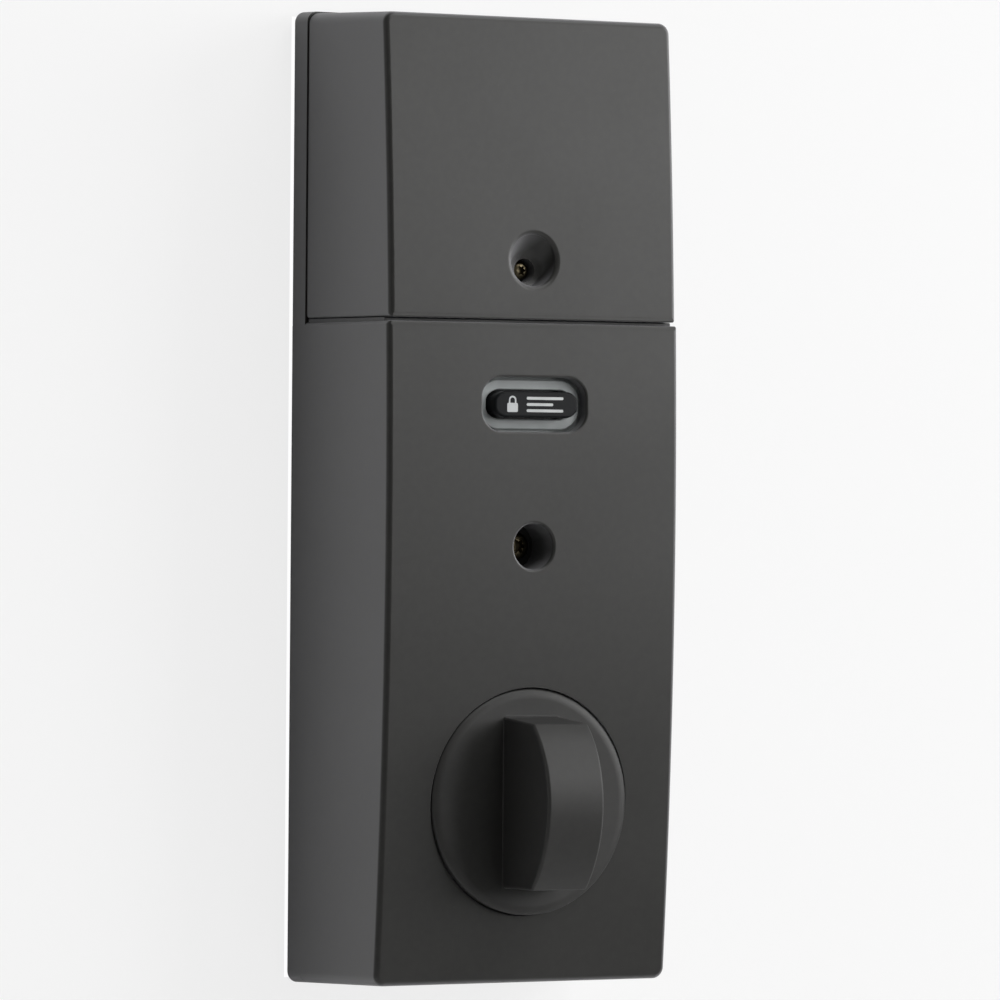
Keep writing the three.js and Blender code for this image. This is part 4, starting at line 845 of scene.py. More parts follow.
@dataclass
class Housing:
    """Painted casting and its battery cover, with the holes that the other pieces stand in."""

    finishes: Finishes
    corner: float = 2.5
    edge: float = 1.2
    seam: float = 0.8
    seam_edge: float = 0.32
    seam_corner: float = 0.9
    wall: float = 2.5
    end_depth: float = 36.0
    skin: float = 0.6
    band_depth: float = 5.2
    band_floor: float = 2.0
    band_inset: float = 0.06
    band_draft: float = 0.14
    shelf: float = 2.2
    lead_slot_sides: tuple[float, float] = (11.5, 20.0)
    lead_slot_depths: tuple[float, float] = (23.5, 32.5)
    column: float = 3.3
    column_back: float = 4.6
    column_hole: float = 1.55
    column_hole_end: float = 16.5
    turn_wall: float = 2.0
    turn_ledge: tuple[float, float] = (30.5, 32.5)
    turn_bore: float = 12.3
    turn_lip: float = 0.12
    mounting_head: float = 2.2
    mounting_bore: float = 5.0
    mounting_hole: float = 2.05
    mounting_lip: float = 0.65
    mounting_wall: float = 1.6
    mounting_column: float = 4.4
    mounting_column_gap: float = 1.8
    oval: tuple[float, float] = (26.6, 11.9)
    oval_floor: float = 30.0
    oval_lip: float = 0.5
    cover_wall: float = 2.0
    cover_back: float = 5.5
    cover_gap: float = 0.5
    cover_skin: float = 0.5
    hollow_back: float = 4.0
    foot_front: float = 32.0
    tongue_at: float = 22.0
    tongue_half: float = 4.0
    tongue_thickness: float = 1.8
    tongue_depths: tuple[float, float] = (3.8, 13.5)
    screw_boss: float = 4.3
    screw_boss_back: float = 29.1
    screw_bore: float = 2.6
    screw_bore_depth: float = 1.8
    screw_hole: float = 1.8
    recess_boss: float = 8.2
    recess_mouth: float = 5.6
    recess_rise: float = 2.1
    recess_floor: float = 1.2
    recess_lip: float = 0.8
    seal_inset: float = 0.5
    seal_sunk: float = 0.4
    seal_under: float = 2.4
    seal_rise: float = 0.75
    seal_edge: float = 0.18

    def __post_init__(self) -> None:
        """Take the sizes that the frame holds."""
        self.body, self.cover = extent("main_housing"), extent("battery_cover")
        self.disc = extent("thumbturn")
        self.body_top = self.cover.y0 - self.seam
        self.bow = Bow(self.body.y1, self.end_depth, self.body.front - self.end_depth)

    def build(self) -> None:
        """Make the casting, the cover and the seal."""
        self.casting()
        self.battery_cover()
        self.seal()

    def seal(self) -> None:
        """Thin black seal that closes the seam, with its foot sunk in the casting's shelf."""
        edge = self.seal_edge
        block = BowedBlock(
            half=self.body.x1 - self.seal_inset, low=self.body_top - self.seal_sunk,
            high=self.body_top + self.seal_rise, back=self.band_depth + 1, under=self.seal_under,
            corner_low=0.2, corner_high=0.2, edge_side=edge, edge_low=edge, edge_high=edge, draft_low=0,
            draft_high=0, corner_steps=3, side_steps=2, edge_steps=3,
        )
        made = new_object("cover_seal", block.shape(self.bow))
        combine(made, [(Joining.CUT, self.lead_slot())])
        dress(made, "main_chip", self.finishes, stands_for=False)

    def casting(self) -> None:
        """Body below the seam, and the shallow frame behind the cover, bossed and cut for the other pieces.

        Unlike the CAD's, it has no holes for the tray's two small screws.
        """
        body, bow = self.body, self.bow
        block = BowedBlock(
            half=body.x1, low=body.y0, high=self.body_top, back=0, corner_high=self.seam_corner,
            edge_high=self.seam_edge, draft_high=0,
        )
        made = new_object("housing_casting", block.shape(bow))
        inset = self.band_inset
        outline, _ = rounded_outline(2 * body.x1 - inset, body.height - inset, self.corner)
        band = bar_of(outline, [(0, 0), (-self.band_draft, self.band_depth)]).moved(0, body.y)
        shelf_under = self.body_top - self.shelf
        cavity = BowedBlock(
            half=body.x1 - self.wall, low=body.y0 + self.wall, high=shelf_under, back=BEHIND, under=self.wall,
            draft_high=0, side_steps=40,
        )
        high = body.y1 - self.wall - shelf_under + 1
        inside, _ = rounded_outline(2 * (body.x1 - self.wall), high, self.corner)
        recess = prism(inside, BEHIND, self.band_depth - self.band_floor)
        recess = recess.moved(0, (shelf_under - 1 + body.y1 - self.wall) / 2)
        mounting = extent("mounting_screw")
        seat = mounting.front - self.mounting_head - SEATING
        posts = [extent(f"chassis_screw_{i}") for i in range(1, 5)]
        turn_y, turn_radius = self.disc.y, self.disc.width / 2 + RUNNING
        ledge_back, ledge_front = self.turn_ledge
        turn_hole = circle(turn_radius, 128) + [0, turn_y]
        bore = circle(self.mounting_bore, 56) + [0, mounting.y]
        oval = oval_outline(*self.oval) + [0, extent("light_ring").y]
        end = self.column_hole_end
        holes = [bar_shape(post.x, post.y, self.column_hole, BEHIND, end, 24) for post in posts]
        combine(made, [
            (Joining.ADD, band), (Joining.CUT, cavity.shape(bow)), (Joining.CUT, recess),
            (Joining.ADD, self.bosses(turn_radius, ledge_back, mounting, seat, posts)),
            (Joining.CUT, face_hole(turn_hole, ledge_front, self.turn_lip, bow)),
            (Joining.CUT, bar_shape(0, turn_y, self.turn_bore, BEHIND, BEYOND, 64)),
            (Joining.CUT, face_hole(bore, seat, self.mounting_lip, bow)),
            (Joining.CUT, bar_shape(0, mounting.y, self.mounting_hole, BEHIND, BEYOND, 32)),
            (Joining.CUT, face_hole(oval, self.oval_floor, self.oval_lip, bow)),
            *((Joining.CUT, hole) for hole in holes),
            (Joining.CUT, self.lead_slot()), (Joining.CUT, self.tongue_bars(RUNNING, BEHIND)),
        ])
        dress(made, "main_housing", self.finishes)

    def bosses(
        self, turn_radius: float, ledge_back: float, mounting: Extent, seat: float, posts: list[Extent]
    ) -> Shape:
        """Bosses and columns inside the casting, cut off a little below its outer face.

        Args:
            turn_radius: Radius of the thumbturn's hole.
            ledge_back: Depth at which its boss starts.
            mounting: The mounting screw's box.
            seat: Depth that its head stands on.
            posts: Boxes of the screws that go into the columns.

        Returns:
            The closed shape.
        """
        skin = BowedBlock(
            half=self.body.x1 - self.skin, low=self.body.y0 + self.skin, high=self.body_top - self.skin,
            back=BEHIND, under=self.skin, side_steps=40,
        )
        wide = self.mounting_bore + self.mounting_wall
        inner = new_object("bosses", merged([
            bar_shape(0, self.disc.y, turn_radius + self.turn_wall, ledge_back, BEYOND, 96),
            bar_shape(0, mounting.y, wide, seat - 2, BEYOND, 48),
        ]))
        columns = merged([
            bar_shape(0, mounting.y, self.mounting_column, self.column_back, seat - self.mounting_column_gap),
            *(bar_shape(post.x, post.y, self.column, self.column_back, BEYOND, 32) for post in posts),
        ])
        combine(inner, [(Joining.ADD, columns), (Joining.KEEP, skin.shape(self.bow))])
        return taken_back(inner)

    def lead_slot(self) -> Shape:
        """Opening in the shelf that the battery leads pass through."""
        low, high = self.body_top - self.shelf - 0.5, self.body_top + 2
        return box_shape(*self.lead_slot_sides, low, high, *self.lead_slot_depths)

    def tongue_bars(self, room: float, back: float) -> Shape:
        """The cover's two tongues, or with some room round them, the slots that they stand in.

        The room above a tongue is a quarter of the rest, so that a slot stays clear of the casting's wall.
        """
        top = self.cover.y1 + self.cover_gap - self.wall - SEATING
        low, high = top - self.tongue_thickness - room, top + room / 4
        middles = [side * self.tongue_at for side in (-1, 1)]
        half, front = self.tongue_half, self.tongue_depths[1]
        return merged([box_shape(x - half - room, x + half + room, low, high, back, front) for x in middles])

    def battery_cover(self) -> None:
        """Lift-off shell with its two tongues, and a round recess that slants down to the screw's bore."""
        cover, bow, wall = self.cover, self.bow, self.cover_wall
        half, inset = cover.x1, self.cover_skin
        shell = BowedBlock(
            half=half, low=cover.y0, high=cover.y1, back=self.cover_back, corner_low=self.seam_corner,
            edge_low=self.seam_edge, draft_low=0,
        )
        hollow = replace(
            shell, half=half - wall, low=cover.y0 + wall, high=cover.y1 - wall, back=self.hollow_back,
            under=wall, corner_low=self.corner, edge_low=self.edge, side_steps=40,
        )
        side = half - wall - 1
        foot = box_shape(-side, side, cover.y0 - 1, cover.y0 + 2 * wall, 0, self.foot_front)
        screw = extent("cover_screw")
        floor = screw.front + self.recess_floor
        skin = replace(
            shell, half=half - inset, low=cover.y0 + inset, high=cover.y1 - inset, under=inset, side_steps=40,
        )
        boss = new_object("boss", bar_shape(0, screw.y, self.screw_boss, self.screw_boss_back, BEYOND, 48))
        round_recess = bar_shape(0, screw.y + self.recess_rise, self.recess_boss, floor - wall, BEYOND, 64)
        combine(boss, [(Joining.ADD, round_recess), (Joining.KEEP, skin.shape(bow))])
        bore = bar_shape(0, screw.y, self.screw_bore, screw.front - self.screw_bore_depth, floor + 1)
        made = new_object("battery_cover_shell", shell.shape(bow))
        combine(made, [
            (Joining.CUT, hollow.shape(bow)), (Joining.CUT, foot), (Joining.ADD, taken_back(boss)),
            (Joining.ADD, self.tongue_bars(0, self.tongue_depths[0])),
            (Joining.CUT, self.recess(screw.y, floor, bow)), (Joining.CUT, bore),
            (Joining.CUT, bar_shape(0, screw.y, self.screw_hole, 0, BEYOND, 32)),
        ])
        dress(made, "battery_cover", self.finishes)

    def recess(self, low_y: float, floor: float, bow: Bow, steps: int = 72) -> Shape:
        """Cutter of the slanted recess.

        Circles from the floor to the face, whose radius and height above the screw grow in step with their
        depth, and then a lip that flares out by lip(1 - cos a) as the depth nears the face.
        """
        mouth, start, rise, lip = self.recess_mouth, self.screw_bore, self.recess_rise, self.recess_lip
        face = bow.depth(low_y + rise)
        rings = []
        for share in np.linspace(0, 1, 8):
            points = circle(start + (mouth - start) * share**0.45, steps) + [0, low_y + rise * share]
            rings.append(np.column_stack([points, np.full(steps, floor + (face - lip - floor) * share)]))
        for turn in np.linspace(0, np.pi / 2, 8)[1:]:
            points = circle(mouth + lip * 1.5 * (1 - np.cos(turn)), steps) + [0, low_y + rise]
            rings.append(np.column_stack([points, bow.depth(points[:, 1]) - lip * (1 - np.sin(turn))]))
        last = rings[-1].copy()
        last[:, 2] += CLEARING
        return loft(np.stack([*rings, last]))


# ---------------------------------------------------------------------------------------------------------
# Thumbturn
# ---------------------------------------------------------------------------------------------------------


@dataclass
class Thumbturn:
    """Disc and lever in one casting, with a small fillet where the lever stands on the disc.

    Unlike the CAD's, its boss has no groove for the retaining clip.
    """

    finishes: Finishes
    lever_width: float = 14.2
    lever_length: float = 37.3
    lever_end: float = 12.3
    lever_arch: float = 6.5
    edge: float = 0.7
    lean: float = 1.3
    fillet: float = 0.25
    boss: float = 12.0
    disc_depth: float = 4.9
    rim_height: float = 1.6
    crown: tuple[float, float] = (2.2, 0.9)
    bulge: float = 0.12
    socket_radius: float = 6.3
    socket_flat: float = 4.3
    socket_floor: float = 1.5

    def __post_init__(self) -> None:
        """Take the disc's place from the frame."""
        self.at = extent("thumbturn")
        self.face = self.at.front - self.lever_end - self.lever_arch

    def build(self) -> None:
        """Make the disc, and join the lever and its fillet to it."""
        radius, face = self.at.width / 2, self.face
        back, boss = face - self.disc_depth, self.boss
        side = face - self.rim_height
        foot = eased([(boss, self.at.back), (boss, back), (radius, back), (radius, side)], 0.2)
        rim = np.linspace(0, np.pi / 2, 12)
        wide, deep = self.crown
        around = radius - wide * (1 - np.cos(rim)) + self.bulge * np.cos(rim)
        crown = list(zip(around.tolist(), (face - deep * (1 - np.sin(rim))).tolist()))
        profile = [*foot[:-1], *crown, (4, face)]
        made = new_object("turn_casting", turned(profile, 160).moved(0, self.at.y))
        outline, _ = rounded_outline(self.lever_width, self.lever_length, self.edge, 6)
        turn = np.linspace(0, np.pi / 2, 7)
        stages = [(self.fillet, face - 1)]
        stages += [(self.fillet * (1 - np.sin(a)), face + self.fillet * (1 - np.cos(a))) for a in turn]
        stages[-1] = (-0.02, stages[-1][1])
        combine(made, [
            (Joining.ADD, self.lever().moved(0, self.at.y, face)),
            (Joining.ADD, bar_of(outline, stages).moved(0, self.at.y)),
            (Joining.CUT, self.socket()),
        ])
        dress(made, "thumbturn", self.finishes)

    def socket(self) -> Shape:
        """Flatted socket of the spindle: a circle whose height is held between two flats."""
        outline = circle(self.socket_radius, 64)
        outline[:, 1] = np.clip(outline[:, 1], -self.socket_flat, self.socket_flat)
        return prism(outline, self.at.back - 1, self.face - self.socket_floor).moved(0, self.at.y)

    def profile(self) -> Array:
        """Side view of the lever, shrunk by its edge: straight foot and ends, and an arc over the top.

        The arc's radius is (half² + arch²) / (2 arch), so that it meets both ends. Its upper half is drawn in
        by the lean times the square of the share of the half length, so that the upper end slopes.
        """
        half, end = self.lever_length / 2 - self.edge, self.lever_end - self.edge
        radius = (half**2 + self.lever_arch**2) / (2 * self.lever_arch)
        spread = np.arcsin(half / radius)
        angle = np.linspace(np.pi / 2 - spread, np.pi / 2 + spread, 64)
        centre = end + self.lever_arch - radius
        run = radius * np.cos(angle)
        run -= self.lean * (np.maximum(run, 0) / half) ** 2
        arc = np.column_stack([run, centre + radius * np.sin(angle)])
        return np.vstack([[(-half, -2.0), (half, -2.0)], arc])

    def lever(self) -> Shape:
        """Carry the side view across the width.

        At each stage the view grows along its normals by edge cos a while x runs edge sin a beyond the flat
        part, so that all its edges are quarter circles. Its corners are filled by rounded joints.
        """
        view = self.profile()
        along = np.roll(view, -1, axis=0) - view
        along /= np.linalg.norm(along, axis=1, keepdims=True)
        out_after = np.stack([along[:, 1], -along[:, 0]], axis=-1)
        out_before = np.roll(out_after, 1, axis=0)
        share = np.linspace(0, 1, 5)[:, None, None]
        fan = out_before + (out_after - out_before) * share
        fan /= np.linalg.norm(fan, axis=2, keepdims=True)
        sharp = (out_before * out_after).sum(axis=1) < 0.9
        points = [np.repeat(p[None], 5, axis=0) if s else p[None] for p, s in zip(view, sharp)]
        normals = [fan[:, i] if s else fan[2:3, i] for i, s in enumerate(sharp)]
        outline, outward = np.vstack(points), np.vstack(normals)
        flat = self.lever_width / 2 - self.edge
        turns = np.linspace(-np.pi / 2, np.pi / 2, 13)
        rings = []
        for turn in turns:
            side = outline + outward * self.edge * np.cos(turn)
            x = np.full(len(side), np.sign(turn) * flat + self.edge * np.sin(turn))
            rings.append(np.column_stack([x, side]))
        middle = rings.pop(6)
        for x in (-flat, flat):
            ring = middle.copy()
            ring[:, 0] = x
            rings.append(ring)
        return loft(np.stack(sorted(rings, key=lambda ring: ring[0, 0])))


# ---------------------------------------------------------------------------------------------------------
# Push button
# ---------------------------------------------------------------------------------------------------------


@dataclass
class PushButton:
    """Glossy cap in a translucent ring, with a plain padlock sign and three bars on it."""

    finishes: Finishes
    size: tuple[float, float] = (25.6, 10.85)
    band: float = 1.8
    band_high: float = 2.25
    ring_edge: float = 0.35
    flange: float = 4.0
    pocket: float = 2.4
    pocket_floor: float = 2.3
    cap_gap: float = 0.6
    cap_edge: float = 0.5
    cap_foot: float = 1.2
    sign_rise: float = 0.03
    sign_sunk: float = 0.1

    def outline(self, more: float) -> Array:
        """Outline of the ring's hole, made wider and higher by the given length."""
        width, height = self.size
        return oval_outline(width - 2 * self.band + more, height - 2 * self.band_high + more)

    def build(self) -> None:
        """Make the ring, the cap and the sign."""
        ring, cap = extent("light_ring"), extent("button_cap")
        width, height = self.size
        front = ring.front
        body = bar_of(oval_outline(width, height), edge_stages(ring.back, front, self.ring_edge))
        made = new_object("light_frame", body.moved(0, ring.y))
        flange = oval_outline(width + self.flange, height + self.flange)
        pocket = prism(self.outline(self.pocket), ring.back - 1, front - self.pocket_floor)
        shoulder = front - 0.65
        opening = [(0, ring.back - 1), (0, front - 0.3), (0.1, front - 0.12), (0.3, front + 0.02)]
        opening.append((0.3, front + 1))
        combine(made, [
            (Joining.ADD, prism(flange, shoulder - 3.2, shoulder - 0.55).moved(0, ring.y)),
            (Joining.CUT, bar_of(self.outline(0), opening).moved(0, ring.y)),
            (Joining.CUT, pocket.moved(0, ring.y)),
        ])
        dress(made, "light_ring", self.finishes)
        pad = bar_of(self.outline(-self.cap_gap), edge_stages(cap.back + 0.4, cap.front, self.cap_edge))
        made = new_object("push_cap", pad.moved(0, cap.y))
        foot = prism(self.outline(self.cap_foot), cap.back, cap.back + 1.1)
        combine(made, [(Joining.ADD, foot.moved(0, cap.y))])
        dress(made, "button_cap", self.finishes)
        self.sign(cap)

    def sign(self, cap: Extent) -> None:
        """Raised print on the cap: a padlock's body and shackle at the left, and three bars beside it."""
        parts = []
        lock_x = -6.2
        lock_body, _ = rounded_outline(2.7, 2.0, 0.3, 4)
        parts.append(lock_body + [lock_x, -0.7])
        arc = np.linspace(0, np.pi, 17)
        ring = np.column_stack([np.cos(arc), np.sin(arc)])
        legs = np.array([[1, -0.6]]), np.array([[-1, -0.6]])
        outside, inside = (
            np.vstack([legs[0] * [radius, 1], ring * radius, legs[1] * [radius, 1]])
            for radius in (0.95, 0.58)
        )
        parts.append(np.vstack([outside, inside[::-1]]) + [lock_x, 0.9])
        for row, length in zip((1.35, 0.0, -1.35), (9.4, 6.8, 9.4)):
            bar, _ = rounded_outline(length, 0.62, 0.3, 4)
            parts.append(bar + [length / 2 - 2.6, row])
        back, front = cap.front - self.sign_sunk, cap.front + self.sign_rise
        shapes = [prism(part, back, front).moved(0, cap.y) for part in parts]
        made = new_object("padlock_sign", merged(shapes))
        finish_surface(made)
        print_look = Finish(roughness=(0.4, 0.5), scale=1500, bump=0.003, variation=0.03)
        made.data.materials.append(self.finishes.build("sign print", (0.62, 0.64, 0.64), print_look))
        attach(made, "button")
        log.info("padlock_sign: on button")


# ---------------------------------------------------------------------------------------------------------
# Screws and round hardware
# ---------------------------------------------------------------------------------------------------------


class Drive(Enum):
    """Socket in a screw's head."""

    STAR = "star"
    CROSS = "cross"


@dataclass(frozen=True)
class Screw:
    """Domed screw that stands where a CAD screw does, its head towards the room or towards the door."""

    node: str
    shank: float
    head_height: float
    drive: Drive
    to_room: bool = True
    pitch: float = 0.7

    def build(self, finishes: Finishes) -> None:
        """Turn the head and a ringed thread, and cut the drive's socket."""
        at = extent(self.node)
        length = at.front - at.back
        radius, head = at.width / 2, self.head_height
        bottom = -(length - head)
        threads = int((-bottom - 1) / self.pitch)
        turns = [point for i in range(threads) for point in self.thread(bottom + 1 + i * self.pitch)]
        profile = [(self.shank * 0.55, bottom), *turns, (self.shank * 0.94, 0), (radius, 0)]
        dome = np.linspace(0, np.pi / 2 * 0.86, 7)
        profile += [(radius * np.cos(a) ** 0.55, head * (0.4 + 0.6 * np.sin(a))) for a in dome]
        shape = turned(profile, 40)
        socket = prism(self.socket(radius), head * 0.3, head + 1)
        shapes = [shape, socket]
        if not self.to_room:
            shapes = [Shape(s.points * [1, -1, -1], s.faces).facing_out() for s in shapes]
        seat = at.front - head if self.to_room else at.back + head
        made = new_object(f"{self.node}_turned", shapes[0].moved(at.x, at.y, seat))
        combine(made, [(Joining.CUT, shapes[1].moved(at.x, at.y, seat))])
        dress(made, self.node, finishes)

    def thread(self, at: float) -> list[tuple[float, float]]:
        """One ridge of the thread's profile: root, flank, crest, flank."""
        root, step = self.shank * 0.84, self.pitch
        radii = (root, self.shank, self.shank, root)
        return [(radius, at + share * step) for radius, share in zip(radii, (0, 0.4, 0.55, 0.9))]

    def socket(self, radius: float) -> Array:
        """Outline of the socket: six soft lobes, or a cross of two bars."""
        angle = np.linspace(0, 2 * np.pi, 60, endpoint=False)
        if self.drive is Drive.STAR:
            reach = radius * (0.46 + 0.09 * np.cos(6 * angle))
        else:
            reach = radius * (0.2 + 0.36 * np.abs(np.cos(2 * angle)) ** 6)
        return np.column_stack([reach * np.cos(angle), reach * np.sin(angle)])


def all_screws() -> list[Screw]:
    """Every screw of the lock: those that show have a star socket, the rest a cross."""
    screws = [Screw("cover_screw", 1.5, 1.7, Drive.STAR), Screw("mounting_screw", 1.75, 2.2, Drive.STAR)]
    screws += [Screw(f"chassis_screw_{i}", 1.25, 1.4, Drive.CROSS, to_room=False) for i in range(1, 5)]
    names = [f"gear_plate_screw_{i}" for i in range(1, 5)] + ["board_screw_1", "board_screw_2"]
    names += ["tray_screw_1", "tray_screw_2"]
    screws += [Screw(name, 1.0, 1.4, Drive.CROSS) for name in names]
    return screws


@dataclass
class Hardware:
    """Round metal and moulded pieces inside, with rounded edges in place of the CAD's facets."""

    finishes: Finishes

    def build(self) -> None:
        """Make the pins, the magnet, the bush, the insert and the sleeves."""
        for node in ("gear_pin_1", "gear_pin_2", "position_magnet", "switch_plunger"):
            self.rod(node, 0.25)
        self.rod("capacitor", 0.7)
        self.rod("alarm_sounder", 0.8, port=2.0)
        self.ring("turn_bush", 6.3, [(7.7, 0), (7.7, 0.85), (9.2, 0.85), (9.2, 1)])
        insert = extent("tray_insert")
        self.ring("tray_insert", 1.8, [(insert.width / 2, 0), (insert.width / 2, 1)])

    def rod(self, node: str, edge: float, port: float = 0.0) -> None:
        """Round bar with rounded ends, and a short spigot at the back when a port's radius is given."""
        at = extent(node)
        radius = min(at.width, at.height) / 2
        back = at.back + 0.4 if port else at.back
        corners = [(radius * 0.3, back), (radius, back), (radius, at.front), (radius * 0.3, at.front)]
        if port:
            corners = [(port * 0.5, at.back), (port, at.back), (port, back), *corners[1:]]
        made = new_object(f"{node}_turned", turned(eased(corners, edge), 56).moved(at.x, at.y))
        dress(made, node, self.finishes)

    def ring(self, node: str, bore: float, outside: list[tuple[float, float]]) -> None:
        """Ring with a bore, its outside given as (radius, share of the depth)."""
        at = extent(node)
        depth = at.front - at.back
        outer = [(radius, at.back + share * depth) for radius, share in outside]
        section = [(bore, at.back), *outer, (bore, at.front)]
        made = new_object(f"{node}_turned", turned_ring(section).moved(at.x, at.y))
        dress(made, node, self.finishes)


# ---------------------------------------------------------------------------------------------------------
# Batteries and leads
# ---------------------------------------------------------------------------------------------------------


@dataclass
class Batteries:
    """Four dry cells with a rolled wrap, each turned the other way to its neighbour."""

    finishes: Finishes
    can_edge: float = 0.35
    nub: float = 2.75
    nub_height: float = 1.0
    band_from: float = 0.72
    wrap_edge: float = 0.75
    band_colour: tuple[float, float, float] = (0.36, 0.2, 0.07)

    def build(self) -> None:
        """Make the cells, whose pale band lies at the nub's end."""
        for number in range(1, 5):
            node = f"battery_{number}"
            at = extent(node)
            radius, length = at.width / 2, at.height
            can = length - self.nub_height
            corners = [
                (1.5, 0), (radius - 1.2, 0), (radius - 1.2, 0.25), (radius, 0.25), (radius, can - 0.2),
                (radius - 1.1, can - 0.2), (radius - 1.1, can - 0.6), (self.nub + 0.4, can - 0.6),
                (self.nub, can), (self.nub, length), (1.5, length),
            ]
            shape = turned(eased(corners, self.can_edge), 72)
            up = number % 2 == 1
            x, y, along = shape.points.T
            placed = np.column_stack([x, along if up else length - along, y])
            middle = (at.back + at.front) / 2
            stood = Shape(placed, shape.faces).facing_out().moved(at.x, at.y0, middle)
            made = new_object(f"dry_cell_{number}", stood)
            dress(made, node, self.finishes)
            self.wrap(made, at, up)

    def wrap(self, made: bpy.types.Object, at: Extent, up: bool) -> None:
        """Give the faces of the nub's third a pale band, and those of both ends bare metal."""
        band = self.finishes.build("cell band", self.band_colour, FINISH_OF["cell_wrap"])
        made.data.materials.append(band)
        made.data.materials.append(self.finishes.of_slot("contact_metal"))
        count = len(made.data.polygons)
        centres = np.zeros(count * 3)
        made.data.polygons.foreach_get("center", centres)
        points = centres.reshape(-1, 3) * MM
        height = points[:, 2] - at.y0
        share = height / at.height if up else 1 - height / at.height
        middle = -(at.back + at.front) / 2
        radius = np.hypot(points[:, 0] - at.x, points[:, 1] - middle)
        choice = np.where(share > self.band_from, 1, 0)
        choice = np.where(radius < at.width / 2 - self.wrap_edge, 2, choice)
        made.data.polygons.foreach_set("material_index", choice.astype(np.int32))


@dataclass
class Leads:
    """The four insulated leads, on smooth curves through the points of their CAD routes."""

    finishes: Finishes
    battery_radius: float = 0.7
    motor_radius: float = 0.6
    routes: dict[str, list[tuple[float, float, float]]] = field(default_factory=lambda: {
        "battery_lead_negative": [
            (-23.9, 40.1, 10.6), (-10, 40.1, 9.8), (8, 40.1, 9.8), (13.2, 40.1, 12), (14, 40.1, 18),
            (14, 39.9, 24), (14, 38, 28.4), (14, 35.2, 29.9), (14, 33.6, 29.9),
        ],
        "battery_lead_positive": [
            (23.9, 40.1, 10.6), (21.5, 40.1, 9.8), (18.4, 40.1, 12), (17.6, 40.1, 18), (17.6, 39.9, 24),
            (17.6, 38, 28.4), (17.6, 35.2, 29.9), (17.6, 33.6, 29.9),
        ],
        "motor_lead_1": [
            (12.6, -29.5, 36), (12, -26, 36.1), (9.5, -18, 33), (9, -8, 30), (9, -1.5, 28.9), (9, 2.5, 28.6),
        ],
        "motor_lead_2": [
            (19.8, -29.5, 36), (19, -26, 36.1), (13.5, -18, 33), (11.4, -8, 30), (11.4, -1.5, 28.9),
            (11.4, 2.5, 28.6),
        ],
    })

    def build(self) -> None:
        """Make each lead as a round tube on a smooth curve."""
        for node, points in self.routes.items():
            radius = self.battery_radius if node.startswith("battery") else self.motor_radius
            made = new_object(f"{node}_tube", tube(smooth_path(points), radius))
            dress(made, node, self.finishes)


def dress_frame(finishes: Finishes) -> None:
    """Give every CAD node that still shows the material of its slot."""
    for node, item in frame["nodes"].items():
        if item.hide_render:
            continue
        item.data.materials.clear()
        item.data.materials.append(finishes.of_slot(SLOT_OF[node]))
        log.info("%s keeps its CAD mesh", node)


# ---------------------------------------------------------------------------------------------------------
# Studio
# ---------------------------------------------------------------------------------------------------------


@dataclass(frozen=True)
class Softbox:
    """Rectangular lamp that faces the lock."""

    name: str
    place: tuple[float, float, float]
    aim: tuple[float, float, float]
    size: tuple[float, float]
    power: float

    def build(self) -> None:
        """Place the lamp and turn it towards its aim."""
        data = bpy.data.lights.new(self.name, "AREA")
        data.shape = "RECTANGLE"
        data.size, data.size_y = self.size
        data.energy = self.power
        lamp = bpy.data.objects.new(self.name, data)
        bpy.context.scene.collection.objects.link(lamp)
        lamp.location = self.place
        lamp.rotation_euler = (Vector(self.aim) - Vector(self.place)).to_track_quat("-Z", "Y").to_euler()


